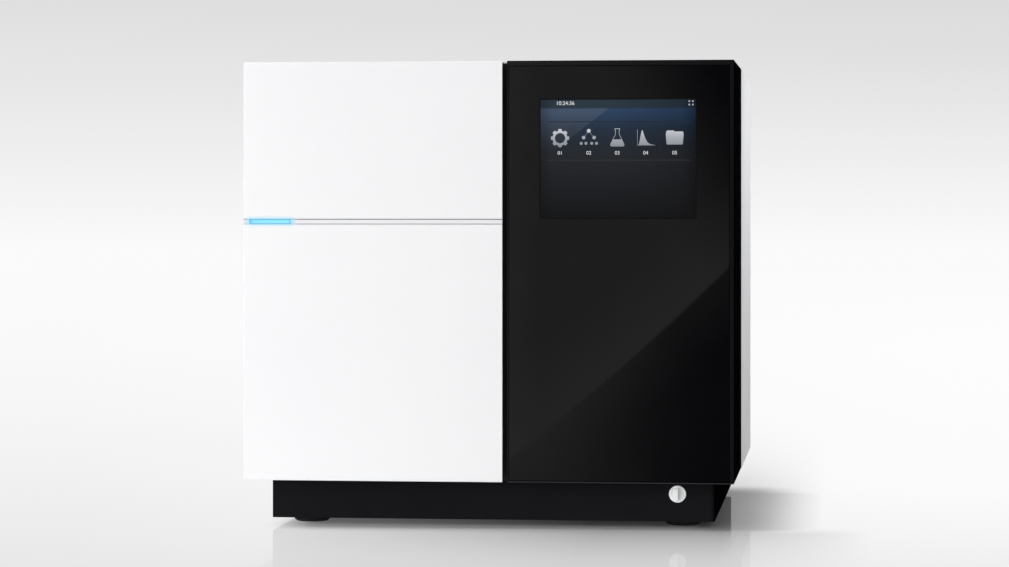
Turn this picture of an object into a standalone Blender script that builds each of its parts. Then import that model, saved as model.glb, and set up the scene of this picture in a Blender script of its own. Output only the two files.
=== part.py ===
"""A bench combustion analyser: white door over a furnace compartment, black glass front with a touch
screen, a set-back plinth with a push button, and a rear panel with a fan, mains inlet and gas fittings.
Metres, +Z up, the front faces -Y. The origin is the middle of the footprint, on the bench."""

import math

import bmesh
import bpy
from mathutils import Color, Matrix, Vector

# Whole instrument
BODY_WIDTH = 0.510
BODY_HEIGHT = 0.435
BODY_DEPTH = 0.515
REAR_REACH = 0.024
SHEET = 0.0015
SEAM = 0.0003
OVERRUN = 0.002
WELD = 0.000001
BYTE = 255

# How finely curves are cut up
ROUND_STEPS = 24
SMALL_STEPS = 16
CORNER_STEPS = 4
SLOT_STEPS = 2
BEVEL_STEPS = 2
FINE_STEPS = 8
WIRE_STEPS = 4
WIDE_STEPS = 36
QUARTER = math.tau / 4
SHARP_ANGLE = math.radians(35)

# Plinth tray
PLINTH_HEIGHT = 0.043
PLINTH_INSET = 0.022
PLINTH_SETBACK = 0.046
PLINTH_REAR_SETBACK = 0.020
PLINTH_CORNER = 0.003
INTAKE_SLOTS = 9
INTAKE_PITCH = 0.014
INTAKE_LENGTH = 0.060
INTAKE_WIDTH = 0.005

# Feet
FOOT_HEIGHT = 0.007
FOOT_RADIUS = 0.019
FOOT_SOLE_RADIUS = 0.0165
FOOT_CHAMFER = 0.0022
FOOT_SIDE_INSET = 0.035
FOOT_END_INSET = 0.046
FOOT_SCREW_RADIUS = 0.005
FOOT_SCREW_DEPTH = 0.004

# Push button in the plinth
BUTTON_SIDE_INSET = 0.0385
BUTTON_RISE = 0.0357
BUTTON_HEAD_RADIUS = 0.0089
BUTTON_HEAD_DEPTH = 0.0022
BUTTON_HEAD_CHAMFER = 0.0008
BUTTON_HOLE_RADIUS = 0.0081
BUTTON_BARREL_RADIUS = 0.0078
BUTTON_BARREL_DEPTH = 0.020
BUTTON_BORE_RADIUS = 0.00725
BUTTON_CAP_RADIUS = 0.00695
BUTTON_CAP_PROUD = 0.0006
BUTTON_CAP_DOME = 0.0004
BUTTON_DOME_SHARE = 0.75
BUTTON_CAP_DEPTH = 0.010

# Chassis floor, partition and back wall
FLOOR_SHEET = 0.002
CABLE_SLOT_LENGTH = 0.060
CABLE_SLOT_WIDTH = 0.020
BACK_WALL_DEPTH = 0.2353
BACK_WALL_HOLE_RADIUS = 0.012
BACK_WALL_HOLE_RISE = 0.060
BACK_WALL_HOLE_PITCH = 0.048

# Door
DOOR_WIDTH = 0.2712
DOOR_THICKNESS = 0.022
DOOR_PLATE_THICKNESS = 0.004
DOOR_PLATE_EDGE = 0.0008
DOOR_FRAME_INSET = 0.0008
DOOR_FRAME_WEB = 0.003
DOOR_HINGE_STILE = 0.023
DOOR_FREE_STILE = 0.0115
DOOR_RAIL = 0.020
DOOR_LEDGE = 0.003
LINER_SHEET = 0.0015
LINER_SLOTS = 7
LINER_SLOT_PITCH = 0.012
LINER_SLOT_LENGTH = 0.110
LINER_SLOT_WIDTH = 0.004
LINER_SLOT_MARGIN = 0.030
FINGER_WIDTH = 0.070
FINGER_RISE = 0.014
FINGER_OFFSET = 0.030

# Groove across the door with its trim strip and light bar
GROOVE_RISE = 0.2692
GROOVE_HEIGHT = 0.0056
GROOVE_DEPTH = 0.0020
STRIP_HEIGHT = 0.0046
STRIP_SETBACK = 0.0002
STRIP_END_GAP = 0.0005
LENS_SETBACK = 0.0065
LENS_LENGTH = 0.0433
LENS_DEPTH = 0.0011
GUIDE_MARGIN = 0.004
GUIDE_HEIGHT = 0.0020
LIGHT_BOARD_HEIGHT = 0.012
LIGHT_BOARD_THICKNESS = 0.0016

# Door hinges
PIVOT_INSET = 0.008
PIVOT_DEPTH = 0.014
PIN_RADIUS = 0.002
PIN_CLEARANCE = 0.0002
PIN_ENGAGEMENT = 0.012
TONGUE_HALF_WIDTH = 0.0035
TONGUE_THICKNESS = 0.003
TONGUE_DROP = 0.008
LEG_WIDTH = 0.012
LEG_HEIGHT = 0.016
LEG_THICKNESS = 0.002
POCKET_HEIGHT = 0.022
POCKET_WIDTH = 0.0165

# Compartment frame, seal and catch
MOUTH_DEPTH = 0.026
FRAME_DEPTH = 0.008
FRAME_HINGE_STILE = 0.022
FRAME_FREE_STILE = 0.020
FRAME_RAIL = 0.014
FRAME_CORNER = 0.003
SEAL_WIDTH = 0.005
SEAL_MARGIN = 0.001
SEAL_CORNER = 0.008
CATCH_WIDTH = 0.006
CATCH_HEIGHT = 0.040
CATCH_RISE = 0.210
CATCH_INSET = 0.0012
STRIKE_THICKNESS = 0.0012
MAGNET_BODY_DEPTH = 0.011

# Black front housing and its glass
HOUSING_GAP = 0.0047
HOUSING_DEPTH = 0.208
HOUSING_WALL = 0.002
HOUSING_EDGE = 0.0010
GLASS_THICKNESS = 0.004
GLASS_SETBACK = 0.0004
GLASS_EDGE = 0.0004
GLASS_TOP_STRIP = 0.0055
GLASS_SIDE_STRIP = 0.0046
GLASS_GAP_STRIP = 0.0020
GLASS_BOTTOM_STRIP = 0.0018
LEDGE_WIDTH = 0.008
LEDGE_THICKNESS = 0.003
SCREEN_LEFT_MARGIN = 0.0325
SCREEN_RIGHT_MARGIN = 0.0344
SCREEN_TOP_MARGIN = 0.0345
SCREEN_HEIGHT_SHARE = 0.763
SCREEN_SEAM = 0.0004
MODULE_MARGIN = 0.006
MODULE_DEPTH = 0.014
MODULE_STEP = 0.005

# Side, top and rear covers
LAP = 0.010
COVER_FLANGE = 0.010
VENT_SLOTS = 12
VENT_PITCH = 0.011
VENT_LENGTH = 0.070
VENT_WIDTH = 0.0045
VENT_SETBACK = 0.300
REAR_VENT_SLOTS = 12
REAR_VENT_INSET = 0.060
REAR_VENT_RISE = 0.330

# Injection port
PORT_SIDE_INSET = 0.105
PORT_SETBACK = 0.160
COVER_RADIUS = 0.046
COVER_GAP = 0.0005
COVER_RIM = 0.006
COVER_DISH_DEPTH = 0.006
COVER_DISH_SLOPE = 0.003
COVER_WALL = 0.0018
COVER_GRIP_WIDTH = 0.006
WELL_WALL = 0.002
WELL_LEDGE = 0.004
WELL_FLANGE = 0.006

# Injection head and septum nut
NUT_TOP_DROP = 0.016
NUT_HEIGHT = 0.014
NUT_RADIUS = 0.0165
NUT_RIB_DEPTH = 0.0010
NUT_RIBS = 18
NUT_RIB_SHARES = (-0.25, 0.25)
NUT_WALL = 0.003
NUT_HOLE_RADIUS = 0.003
HEAD_HEIGHT = 0.034
HEAD_RADIUS = 0.020
HEAD_PLATE_HEIGHT = 0.003
HEAD_BOSS_RADIUS = 0.0120
HEAD_BOSS_HEIGHT = 0.0085
HEAD_CHANNEL_RADIUS = 0.0025
HEAD_SOCKET_DEPTH = 0.018
HEAD_ARM_RADIUS = 0.004
HEAD_ARM_LENGTH = 0.040

# Furnace
FURNACE_WIDTH = 0.130
FURNACE_DEPTH = 0.150
FURNACE_HEIGHT = 0.215
FURNACE_CORNER = 0.010
CORE_RADIUS = 0.018
CORE_PROUD = 0.004
LOUVRES = 9
LOUVRE_PITCH = 0.018
LOUVRE_LENGTH = 0.080
LOUVRE_WIDTH = 0.006
LOUVRE_DEPTH = 0.003

# Quartz combustion tube and its outlet
TUBE_RADIUS = 0.0125
TUBE_WALL = 0.0018
NECK_RADIUS = 0.005
NECK_BORE = 0.003
SHOULDER_DROP = 0.012
SHOULDER_HEIGHT = 0.012
NECK_LENGTH = 0.030
BALL_RADIUS = 0.009
BALL_STEPS = 4
SOCKET_WALL = 0.0018
SOCKET_RIM_RADIUS = 0.0135
SOCKET_RIM_HEIGHT = 0.0025
SOCKET_DEPTH = 0.006
OUTLET_RADIUS = 0.004
OUTLET_BORE = 0.0018
OUTLET_LENGTH = 0.018
CLAMP_WIDTH = 0.034
CLAMP_DEPTH = 0.030
CLAMP_PLATE = 0.0015

# Dryer cartridge on the partition
DRYER_RADIUS = 0.019
DRYER_HEIGHT = 0.200
DRYER_BOTTOM_RISE = 0.110
DRYER_SETBACK = 0.110
DRYER_STANDOFF = 0.014
CAP_RADIUS = 0.0215
CAP_HEIGHT = 0.018
CAP_SOCKET = 0.010
NOZZLE_RADIUS = 0.0042
NOZZLE_LENGTH = 0.007
TRANSFER_RADIUS = 0.003
TUBE_LEAD = 0.003
TRANSFER_SAG = 0.030
TRANSFER_STEPS = 22
OUTLET_STEPS = 10
OUTLET_BEND = 0.024
BRACKET_THICKNESS = 0.0015
BRACKET_WIDTH = 0.016
BRACKET_MARGIN = 0.025
BRACKET_RING_WALL = 0.002
BRACKET_MOUTH = 0.024

# Inner modules
DETECTOR_WIDTH_SHARE = 0.65
DETECTOR_DEPTH = 0.110
DETECTOR_HEIGHT = 0.110
DETECTOR_SETBACK = 0.070
DETECTOR_LID = 0.006
DETECTOR_LIP = 0.004
DETECTOR_TUBE_RADIUS = 0.021
DETECTOR_TUBE_LENGTH = 0.055
BOARD_FRONT_GAP = 0.040
BOARD_REAR_GAP = 0.070
BOARD_HEIGHT = 0.140
BOARD_THICKNESS = 0.0016
BOARD_STANDOFF = 0.006
BOARD_RISE = 0.130
BOARD_CHIP_HEIGHT = 0.006
BOARD_CHIP_SHARES = ((0.30, 0.62, 0.11), (0.68, 0.70, 0.08), (0.55, 0.30, 0.14))
SUPPLY_WIDTH_SHARE = 0.47
SUPPLY_DEPTH = 0.170
SUPPLY_HEIGHT = 0.050
SUPPLY_LEFT_GAP = 0.024
SUPPLY_REAR_GAP = 0.045
SUPPLY_EDGE = 0.002
MANIFOLD_WIDTH = 0.150
MANIFOLD_DEPTH = 0.050
MANIFOLD_HEIGHT = 0.026
MANIFOLD_REAR_INSET = 0.075
CONTROLLER_WIDTH = 0.030
CONTROLLER_HEIGHT = 0.070
CONTROLLER_SINK = 0.004
CONTROLLERS = 3

# Fan at the rear
FAN_SIZE = 0.092
FAN_DEPTH = 0.025
FAN_CORNER = 0.006
FAN_RISE = 0.330
FAN_BORE_RADIUS = 0.0435
FAN_MOTOR_RADIUS = 0.0175
FAN_BASE_DEPTH = 0.004
FAN_STRUTS = 3
FAN_STRUT_WIDTH = 0.005
ROTOR_RADIUS = 0.0420
ROTOR_HUB_RADIUS = 0.0175
ROTOR_FRONT_GAP = 0.0004
ROTOR_REAR_GAP = 0.002
ROTOR_BLADES = 7
BLADE_THICKNESS = 0.0016
BLADE_CHORD = 0.021
BLADE_SECTIONS = 4
BLADE_ROOT_SINK = 0.002
BLADE_SECTION_SHARES = ((-0.5, 1), (0, 1.6), (0.5, 1), (0.5, -1), (0, -0.4), (-0.5, -1))
BLADE_ROOT_PITCH = math.radians(40)
BLADE_TIP_PITCH = math.radians(58)
GUARD_WIRE = 0.0010
GUARD_EDGE_MARGIN = 0.004
GUARD_EYE_RADIUS = 0.004
GUARD_RING_SHARES = (0.30, 0.53, 0.76, 1.0)
GUARD_BAR_SHARE = 0.8
GUARD_BAR_TURNS_SHARE = 0.125

# Mains inlet module
INLET_SIDE_INSET = 0.035
INLET_RISE = 0.070
INLET_WIDTH = 0.031
INLET_HEIGHT = 0.070
INLET_FLANGE = 0.003
INLET_CORNER = 0.002
INLET_BODY_WIDTH = 0.0275
INLET_BODY_HEIGHT = 0.062
INLET_BODY_DEPTH = 0.030
SOCKET_WIDTH = 0.0235
SOCKET_HEIGHT = 0.0163
SOCKET_CHAMFER = 0.005
SOCKET_CAVITY_DEPTH = 0.016
SOCKET_DROP = 0.0200
BLADE_PIN_WIDTH = 0.002
BLADE_PIN_HEIGHT = 0.004
BLADE_PIN_LENGTH = 0.013
BLADE_PIN_SPACING = 0.007
BLADE_PIN_LIFT = 0.0010
EARTH_PIN_LIFT = 0.0040
DRAWER_WIDTH = 0.0210
DRAWER_HEIGHT = 0.0075
DRAWER_DEPTH = 0.020
DRAWER_FACE = 0.0018
DRAWER_FACE_MARGIN = 0.0010
DRAWER_DROP = 0.0035
DRAWER_NOTCH_WIDTH = 0.006
DRAWER_NOTCH_HEIGHT = 0.0025
ROCKER_WIDTH = 0.0190
ROCKER_RADIUS = 0.0105
ROCKER_CROWN = 0.0070
ROCKER_BACK_RADIUS = 0.0050
ROCKER_SPREAD = math.radians(50)
ROCKER_TILT = math.radians(9)
ROCKER_LIFT = 0.0165
ROCKER_SINK = 0.0050
ROCKER_MOUTH = 0.0100
ROCKER_STEPS = 4
ROCKER_SIDE_GAP = 0.0004

# Gas fittings
FITTING_RISE = 0.120
FITTING_SIDE_INSET = 0.045
FITTING_PITCH = 0.035
FITTINGS = 3
HEXAGON = 6
FITTING_THREAD_RADIUS = 0.0060
FITTING_HOLE_GAP = 0.0003
FITTING_HEX_RADIUS = 0.0090
FITTING_HEX_DEPTH = 0.006
FITTING_NUT_RADIUS = 0.0075
FITTING_NUT_DEPTH = 0.010
FITTING_TIP_RADIUS = 0.0048
FITTING_BORE_RADIUS = 0.0017
FITTING_TAIL = 0.014
BARB_RADIUS = 0.0036
BARB_RIDGE_RADIUS = 0.0045
BARB_COUNT = 3

# Data ports
PORTS_SIDE_INSET = 0.100
PORTS_RISE = 0.072
PORTS_WIDTH = 0.062
PORTS_HEIGHT = 0.020
PORTS_FLANGE = 0.0012
PORTS_MARGIN = 0.003
PORTS_DEPTH = 0.018
NETWORK_WIDTH = 0.0118
NETWORK_HEIGHT = 0.0080
SERIAL_WIDTH = 0.0130
SERIAL_HEIGHT = 0.0052
PORTS_CAVITY = 0.013
PORTS_SHARES = (-0.31, 0.02, 0.33)

# Places worked out from the sizes above
LEFT = -BODY_WIDTH / 2
RIGHT = BODY_WIDTH / 2
BOTTOM = FOOT_HEIGHT + PLINTH_HEIGHT
TOP = BOTTOM + BODY_HEIGHT
FRONT = -(BODY_DEPTH + REAR_REACH) / 2
REAR = FRONT + BODY_DEPTH
INNER_LEFT = LEFT + SHEET + SEAM
INNER_RIGHT = RIGHT - SHEET - SEAM
INNER_TOP = TOP - SHEET - SEAM
INNER_REAR = REAR - SHEET - SEAM
FLOOR_TOP = BOTTOM + FLOOR_SHEET + SEAM
DOOR_RIGHT = LEFT + DOOR_WIDTH
HOUSING_LEFT = DOOR_RIGHT + HOUSING_GAP
PARTITION_RIGHT = HOUSING_LEFT - SEAM
PARTITION_LEFT = PARTITION_RIGHT - SHEET
MOUTH = FRONT + MOUTH_DEPTH
FRAME_BACK = MOUTH + FRAME_DEPTH
COVER_START = FRONT + HOUSING_DEPTH + SEAM
BACK_WALL = FRONT + BACK_WALL_DEPTH
PIVOT = (LEFT + PIVOT_INSET, FRONT + PIVOT_DEPTH)
PORT = (LEFT + PORT_SIDE_INSET, FRONT + PORT_SETBACK)
GROOVE_MIDDLE = BOTTOM + GROOVE_RISE
BUTTON = (RIGHT - PLINTH_INSET - BUTTON_SIDE_INSET, FRONT + PLINTH_SETBACK, BUTTON_RISE)
HEAD_TOP = TOP - NUT_TOP_DROP - NUT_HEIGHT - SEAM
HEAD_BOTTOM = HEAD_TOP - HEAD_HEIGHT
CORE_TOP = HEAD_BOTTOM - SEAM
FURNACE_TOP = CORE_TOP - CORE_PROUD
FURNACE_BOTTOM = FURNACE_TOP - FURNACE_HEIGHT
CORE_BOTTOM = FURNACE_BOTTOM - CORE_PROUD
SHOULDER_TOP = CORE_BOTTOM - SHOULDER_DROP
NECK_TOP = SHOULDER_TOP - SHOULDER_HEIGHT
BALL_MIDDLE = NECK_TOP - NECK_LENGTH
BALL_BORE_SHARE = 0.55
SOCKET_BOTTOM = BALL_MIDDLE - BALL_RADIUS - SOCKET_DEPTH
OUTLET_END = SOCKET_BOTTOM - OUTLET_LENGTH
DRYER = (PARTITION_LEFT - DRYER_STANDOFF - CAP_RADIUS, FRONT + DRYER_SETBACK)
DRYER_BOTTOM = BOTTOM + DRYER_BOTTOM_RISE
DRYER_TOP = DRYER_BOTTOM + DRYER_HEIGHT
DRYER_OUTLET_HEIGHT = DRYER_TOP + CAP_HEIGHT + OUTLET_BEND
FAN = ((PARTITION_RIGHT + INNER_RIGHT) / 2, BOTTOM + FAN_RISE)
INLET = (RIGHT - INLET_SIDE_INSET, BOTTOM + INLET_RISE)
PORTS = (RIGHT - PORTS_SIDE_INSET, BOTTOM + PORTS_RISE)

# Finishes: colour, roughness, metallic
FINISHES = {
    "white_paint": ("#EDEEEF", 0.30, 0.0),
    "white_gloss": ("#F4F5F6", 0.12, 0.0),
    "black_paint": ("#141416", 0.40, 0.0),
    "black_gloss": ("#0B0B0D", 0.10, 0.0),
    "black_plastic": ("#17171A", 0.45, 0.0),
    "black_rubber": ("#111112", 0.75, 0.0),
    "display": ("#1A2434", 0.12, 0.0),
    "light_bar": ("#92ECFC", 0.25, 0.0),
    "grey_plastic": ("#9A9DA1", 0.45, 0.0),
    "grey_paint": ("#9A9DA1", 0.45, 0.0),
    "chrome": ("#D6D8DA", 0.12, 1.0),
    "zinc": ("#A9ACB0", 0.40, 1.0),
    "steel": ("#B4B6B8", 0.28, 1.0),
    "brass": ("#C8A860", 0.30, 1.0),
    "ceramic": ("#E9E4DA", 0.80, 0.0),
    "quartz": ("#DDE6E8", 0.05, 0.0),
    "circuit_board": ("#1F5A3A", 0.50, 0.0),
    "clear_plastic": ("#CFE0E4", 0.10, 0.0),
    "white_plastic": ("#E8E9E6", 0.40, 0.0),
}
MATERIALS = {}


def linear(code):
    """Turns a hex colour into the linear red, green, blue and alpha that a shader takes."""
    channels = Color([channel / BYTE for channel in bytes.fromhex(code[1:])])
    return (*channels.from_srgb_to_scene_linear(), 1.0)


def make_materials():
    """One Principled material for each finish."""
    for name, (colour, roughness, metallic) in FINISHES.items():
        material = bpy.data.materials.new(name)
        material.use_nodes = True
        shader = material.node_tree.nodes["Principled BSDF"]
        shader.inputs["Base Color"].default_value = linear(colour)
        shader.inputs["Roughness"].default_value = roughness
        shader.inputs["Metallic"].default_value = metallic
        MATERIALS[name] = material


def middle(shape):
    """The centre of a shape's bounding box."""
    places = [vert.co for vert in shape.verts]
    low = [min(place[i] for place in places) for i in range(3)]
    high = [max(place[i] for place in places) for i in range(3)]
    return [(a + b) / 2 for a, b in zip(low, high)]


def place_object(name, shape, origin=None):
    """Makes an object of a shape that is drawn in place, with its origin at a given point."""
    origin = Vector(origin or middle(shape))
    bmesh.ops.translate(shape, verts=shape.verts, vec=-origin)
    bmesh.ops.recalc_face_normals(shape, faces=shape.faces)
    data = bpy.data.meshes.new(name)
    shape.to_mesh(data)
    shape.free()
    thing = bpy.data.objects.new(name, data)
    thing.location = origin
    bpy.context.scene.collection.objects.link(thing)
    return thing


def piece(name, shape, finish, origin=None, smooth=False):
    """A named sub-part in its finish."""
    thing = place_object(name, shape, origin)
    thing.data.materials.append(MATERIALS[finish])
    if smooth:
        thing.data.shade_smooth()
        thing.data.set_sharp_from_angle(angle=SHARP_ANGLE)
    return thing


def boolean(target, shape, operation):
    """Cuts a shape out of a piece, or joins it on, with a hidden wire object as the tool."""
    tool = place_object(target.name + "_tool", shape)
    tool.hide_render = True
    tool.display_type = "WIRE"
    modifier = target.modifiers.new(operation.lower(), "BOOLEAN")
    modifier.operation = operation
    modifier.solver = "EXACT"
    modifier.object = tool


def cut(target, *shapes):
    """Takes closed shapes that don't touch each other out of a piece."""
    boolean(target, gather(shapes), "DIFFERENCE")


def join(target, *shapes):
    """Adds closed shapes that don't touch each other to a piece."""
    boolean(target, gather(shapes), "UNION")


def soften(target, width, steps=BEVEL_STEPS):
    """Rounds the sharp edges of a piece."""
    modifier = target.modifiers.new("edges", "BEVEL")
    modifier.width = width
    modifier.segments = steps
    modifier.limit_method = "ANGLE"
    modifier.angle_limit = SHARP_ANGLE


def gather(shapes):
    """One mesh that holds several closed shapes."""
    whole = bmesh.new()
    for shape in shapes:
        data = bpy.data.meshes.new("shape")
        bmesh.ops.recalc_face_normals(shape, faces=shape.faces)
        shape.to_mesh(data)
        shape.free()
        whole.from_mesh(data)
        bpy.data.meshes.remove(data)
    return whole


def block(low, high):
    """A closed box between two corners."""
    shape = bmesh.new()
    bmesh.ops.create_cube(shape, size=1.0)
    size = [b - a for a, b in zip(low, high)]
    centre = [(a + b) / 2 for a, b in zip(low, high)]
    bmesh.ops.transform(
        shape, matrix=Matrix.Translation(centre) @ Matrix.Diagonal((*size, 1.0)), verts=shape.verts
    )
    return shape


def prism(outline, axis, start, end):
    """Extrudes an outline along an axis. Its points lie in the plane of the other two, in X, Y, Z order."""
    shape = bmesh.new()
    order = {"X": (1, 2, 0), "Y": (0, 2, 1), "Z": (0, 1, 2)}[axis]
    corners = []
    for u, v in outline:
        place = Vector((0, 0, 0))
        place[order[0]], place[order[1]], place[order[2]] = u, v, start
        corners.append(shape.verts.new(place))
    face = shape.faces.new(corners)
    grown = bmesh.ops.extrude_face_region(shape, geom=[face])
    moved = [item for item in grown["geom"] if isinstance(item, bmesh.types.BMVert)]
    step = Vector((0, 0, 0))
    step[order[2]] = end - start
    bmesh.ops.translate(shape, verts=moved, vec=step)
    bmesh.ops.remove_doubles(shape, verts=shape.verts, dist=WELD)
    return shape


def turned(profile, centre, axis="Z", steps=ROUND_STEPS, closed=False):
    """Spins a profile of (radius, distance along the axis) points about an axis through a centre."""
    shape = bmesh.new()
    points = [shape.verts.new((radius, 0, along)) for radius, along in profile]
    edges = [shape.edges.new(pair) for pair in zip(points, points[1:])]
    if closed:
        edges.append(shape.edges.new((points[-1], points[0])))
    bmesh.ops.spin(
        shape,
        geom=points + edges,
        cent=(0, 0, 0),
        axis=(0, 0, 1),
        angle=math.tau,
        steps=steps,
        use_merge=True,
    )
    bmesh.ops.remove_doubles(shape, verts=shape.verts, dist=WELD)
    turn = {
        "X": Matrix.Rotation(QUARTER, 4, "Y"),
        "Y": Matrix.Rotation(-QUARTER, 4, "X"),
        "Z": Matrix.Identity(4),
    }[axis]
    bmesh.ops.transform(shape, matrix=Matrix.Translation(centre) @ turn, verts=shape.verts)
    return shape


def rod(radius, centre, axis, start, end, steps=SMALL_STEPS):
    """A round bar about an axis, from one distance along it to another."""
    return turned([(0, start), (radius, start), (radius, end), (0, end)], centre, axis, steps)


def rounded_rectangle(low, high, radius, steps=CORNER_STEPS):
    """Outline of a rectangle between two (u, v) corners, each corner turned through an arc."""
    corners = (
        (high[0] - radius, high[1] - radius),
        (low[0] + radius, high[1] - radius),
        (low[0] + radius, low[1] + radius),
        (high[0] - radius, low[1] + radius),
    )
    points = []
    for quarter, (u, v) in enumerate(corners):
        for step in range(steps + 1):
            angle = QUARTER * (quarter + step / steps)
            point = (u + radius * math.cos(angle), v + radius * math.sin(angle))
            if not points or math.dist(point, points[-1]) > WELD:
                points.append(point)
    if math.dist(points[0], points[-1]) <= WELD:
        points.pop()
    return points


def slot(middle_u, middle_v, length, width):
    """Outline of a slot with round ends, long along its first coordinate."""
    low = (middle_u - length / 2, middle_v - width / 2)
    high = (middle_u + length / 2, middle_v + width / 2)
    return rounded_rectangle(low, high, width / 2, SLOT_STEPS)


def row(count, pitch):
    """Even offsets about zero."""
    return [(index - (count - 1) / 2) * pitch for index in range(count)]


def tube_along(name, points, radius, finish):
    """A round tube with closed ends along a row of points."""
    data = bpy.data.curves.new(name, "CURVE")
    data.dimensions = "3D"
    data.bevel_depth = radius
    data.bevel_resolution = 2
    data.use_fill_caps = True
    spline = data.splines.new("POLY")
    spline.points.add(len(points) - 1)
    origin = Vector(points[0])
    for point, place in zip(spline.points, points):
        point.co = (*(Vector(place) - origin), 1.0)
    data.materials.append(MATERIALS[finish])
    thing = bpy.data.objects.new(name, data)
    thing.location = origin
    bpy.context.scene.collection.objects.link(thing)
    return thing


def bezier(start, first, second, end, steps):
    """Points along the cubic curve that four control points shape."""
    points = []
    for step in range(steps + 1):
        t = step / steps
        weights = ((1 - t) ** 3, 3 * t * (1 - t) ** 2, 3 * t * t * (1 - t), t**3)
        controls = (start, first, second, end)
        points.append([sum(w * c[i] for w, c in zip(weights, controls)) for i in range(3)])
    return points


def carry(name, place, *pieces):
    """An empty at a joint's place that carries the pieces which move about it."""
    empty = bpy.data.objects.new(name, None)
    empty.location = place
    bpy.context.scene.collection.objects.link(empty)
    for item in pieces:
        item.parent = empty
        item.matrix_parent_inverse = Matrix.Translation(empty.location).inverted()


def plinth():
    """Black steel skirt of four walls under the body, and the slotted plate that closes it below."""
    low = (LEFT + PLINTH_INSET, FRONT + PLINTH_SETBACK)
    high = (RIGHT - PLINTH_INSET, REAR - PLINTH_REAR_SETBACK)
    skirt = piece(
        "plinth_skirt",
        prism(
            rounded_rectangle(low, high, PLINTH_CORNER, BEVEL_STEPS),
            "Z",
            FOOT_HEIGHT,
            BOTTOM - SEAM,
        ),
        "black_paint",
    )
    hollow = block(
        (low[0] + SHEET, low[1] + SHEET, FOOT_HEIGHT - OVERRUN),
        (high[0] - SHEET, high[1] - SHEET, BOTTOM + OVERRUN),
    )
    cut(skirt, hollow)
    cut(skirt, rod(BUTTON_HOLE_RADIUS, BUTTON, "Y", -OVERRUN, SHEET + OVERRUN, ROUND_STEPS))
    inner = SHEET + SEAM
    plate = piece(
        "plinth_floor",
        block(
            (low[0] + inner, low[1] + inner, FOOT_HEIGHT),
            (high[0] - inner, high[1] - inner, FOOT_HEIGHT + SHEET),
        ),
        "black_paint",
    )
    slots = [
        prism(
            vertical(slot(0, offset, INTAKE_LENGTH, INTAKE_WIDTH)),
            "Z",
            FOOT_HEIGHT - OVERRUN,
            FOOT_HEIGHT + SHEET + OVERRUN,
        )
        for offset in row(INTAKE_SLOTS, INTAKE_PITCH)
    ]
    cut(plate, *slots)


def feet():
    """Four turned rubber feet, each with a sunk screw hole in its sole."""
    top = FOOT_HEIGHT - SEAM
    profile = [
        (0, FOOT_SCREW_DEPTH),
        (FOOT_SCREW_RADIUS, FOOT_SCREW_DEPTH),
        (FOOT_SCREW_RADIUS, 0),
        (FOOT_SOLE_RADIUS, 0),
        (FOOT_RADIUS, FOOT_CHAMFER),
        (FOOT_RADIUS, top),
        (0, top),
    ]
    sides = {
        "left": LEFT + PLINTH_INSET + FOOT_SIDE_INSET,
        "right": RIGHT - PLINTH_INSET - FOOT_SIDE_INSET,
    }
    ends = {
        "front": FRONT + PLINTH_SETBACK + FOOT_END_INSET,
        "rear": REAR - PLINTH_REAR_SETBACK - FOOT_END_INSET,
    }
    for end, y in ends.items():
        for side, x in sides.items():
            name = f"foot_{end}_{side}"
            piece(name, turned(profile, (x, y, 0)), "black_rubber", smooth=True)


def push_button():
    """Round metal button in the plinth: a fixed bezel through the tray's hole, and a cap that travels."""
    face = -BUTTON_HEAD_DEPTH - SEAM
    bezel = [
        (BUTTON_BORE_RADIUS, face + BUTTON_HEAD_CHAMFER),
        (BUTTON_BORE_RADIUS + BUTTON_HEAD_CHAMFER / 2, face),
        (BUTTON_HEAD_RADIUS - BUTTON_HEAD_CHAMFER, face),
        (BUTTON_HEAD_RADIUS, face + BUTTON_HEAD_CHAMFER),
        (BUTTON_HEAD_RADIUS, -SEAM),
        (BUTTON_BARREL_RADIUS, -SEAM),
        (BUTTON_BARREL_RADIUS, BUTTON_BARREL_DEPTH),
        (BUTTON_BORE_RADIUS, BUTTON_BARREL_DEPTH),
    ]
    piece("power_button_bezel", turned(bezel, BUTTON, "Y", closed=True), "chrome", smooth=True)
    front = face - BUTTON_CAP_PROUD
    cap = [
        (0, front - BUTTON_CAP_DOME),
        (BUTTON_CAP_RADIUS / 2, front - BUTTON_CAP_DOME * BUTTON_DOME_SHARE),
        (BUTTON_CAP_RADIUS - BUTTON_CAP_DOME, front),
        (BUTTON_CAP_RADIUS, front + BUTTON_CAP_DOME),
        (BUTTON_CAP_RADIUS, front + BUTTON_CAP_DEPTH),
        (0, front + BUTTON_CAP_DEPTH),
    ]
    piece("power_button_cap", turned(cap, BUTTON, "Y"), "steel", origin=BUTTON, smooth=True)


def stepped_plan(left, front, step_x, step_front, right, rear):
    """Plan of the floor and the top cover, which stop behind the black housing on the right."""
    return [
        (left, front),
        (step_x, front),
        (step_x, step_front),
        (right, step_front),
        (right, rear),
        (left, rear),
    ]


def chassis_floor():
    """Zinc-plated floor plate on the tray's flange, with a slot that passes the cables down."""
    plan = stepped_plan(INNER_LEFT, FRAME_BACK + SEAM, PARTITION_RIGHT, COVER_START, INNER_RIGHT, INNER_REAR)
    floor = piece("chassis_floor", prism(plan, "Z", BOTTOM, BOTTOM + FLOOR_SHEET), "zinc")
    across = (HOUSING_LEFT + INNER_RIGHT) / 2
    along = COVER_START + CABLE_SLOT_WIDTH * 2
    cut(
        floor,
        prism(
            slot(across, along, CABLE_SLOT_LENGTH, CABLE_SLOT_WIDTH),
            "Z",
            BOTTOM - OVERRUN,
            BOTTOM + FLOOR_SHEET + OVERRUN,
        ),
    )


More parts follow.
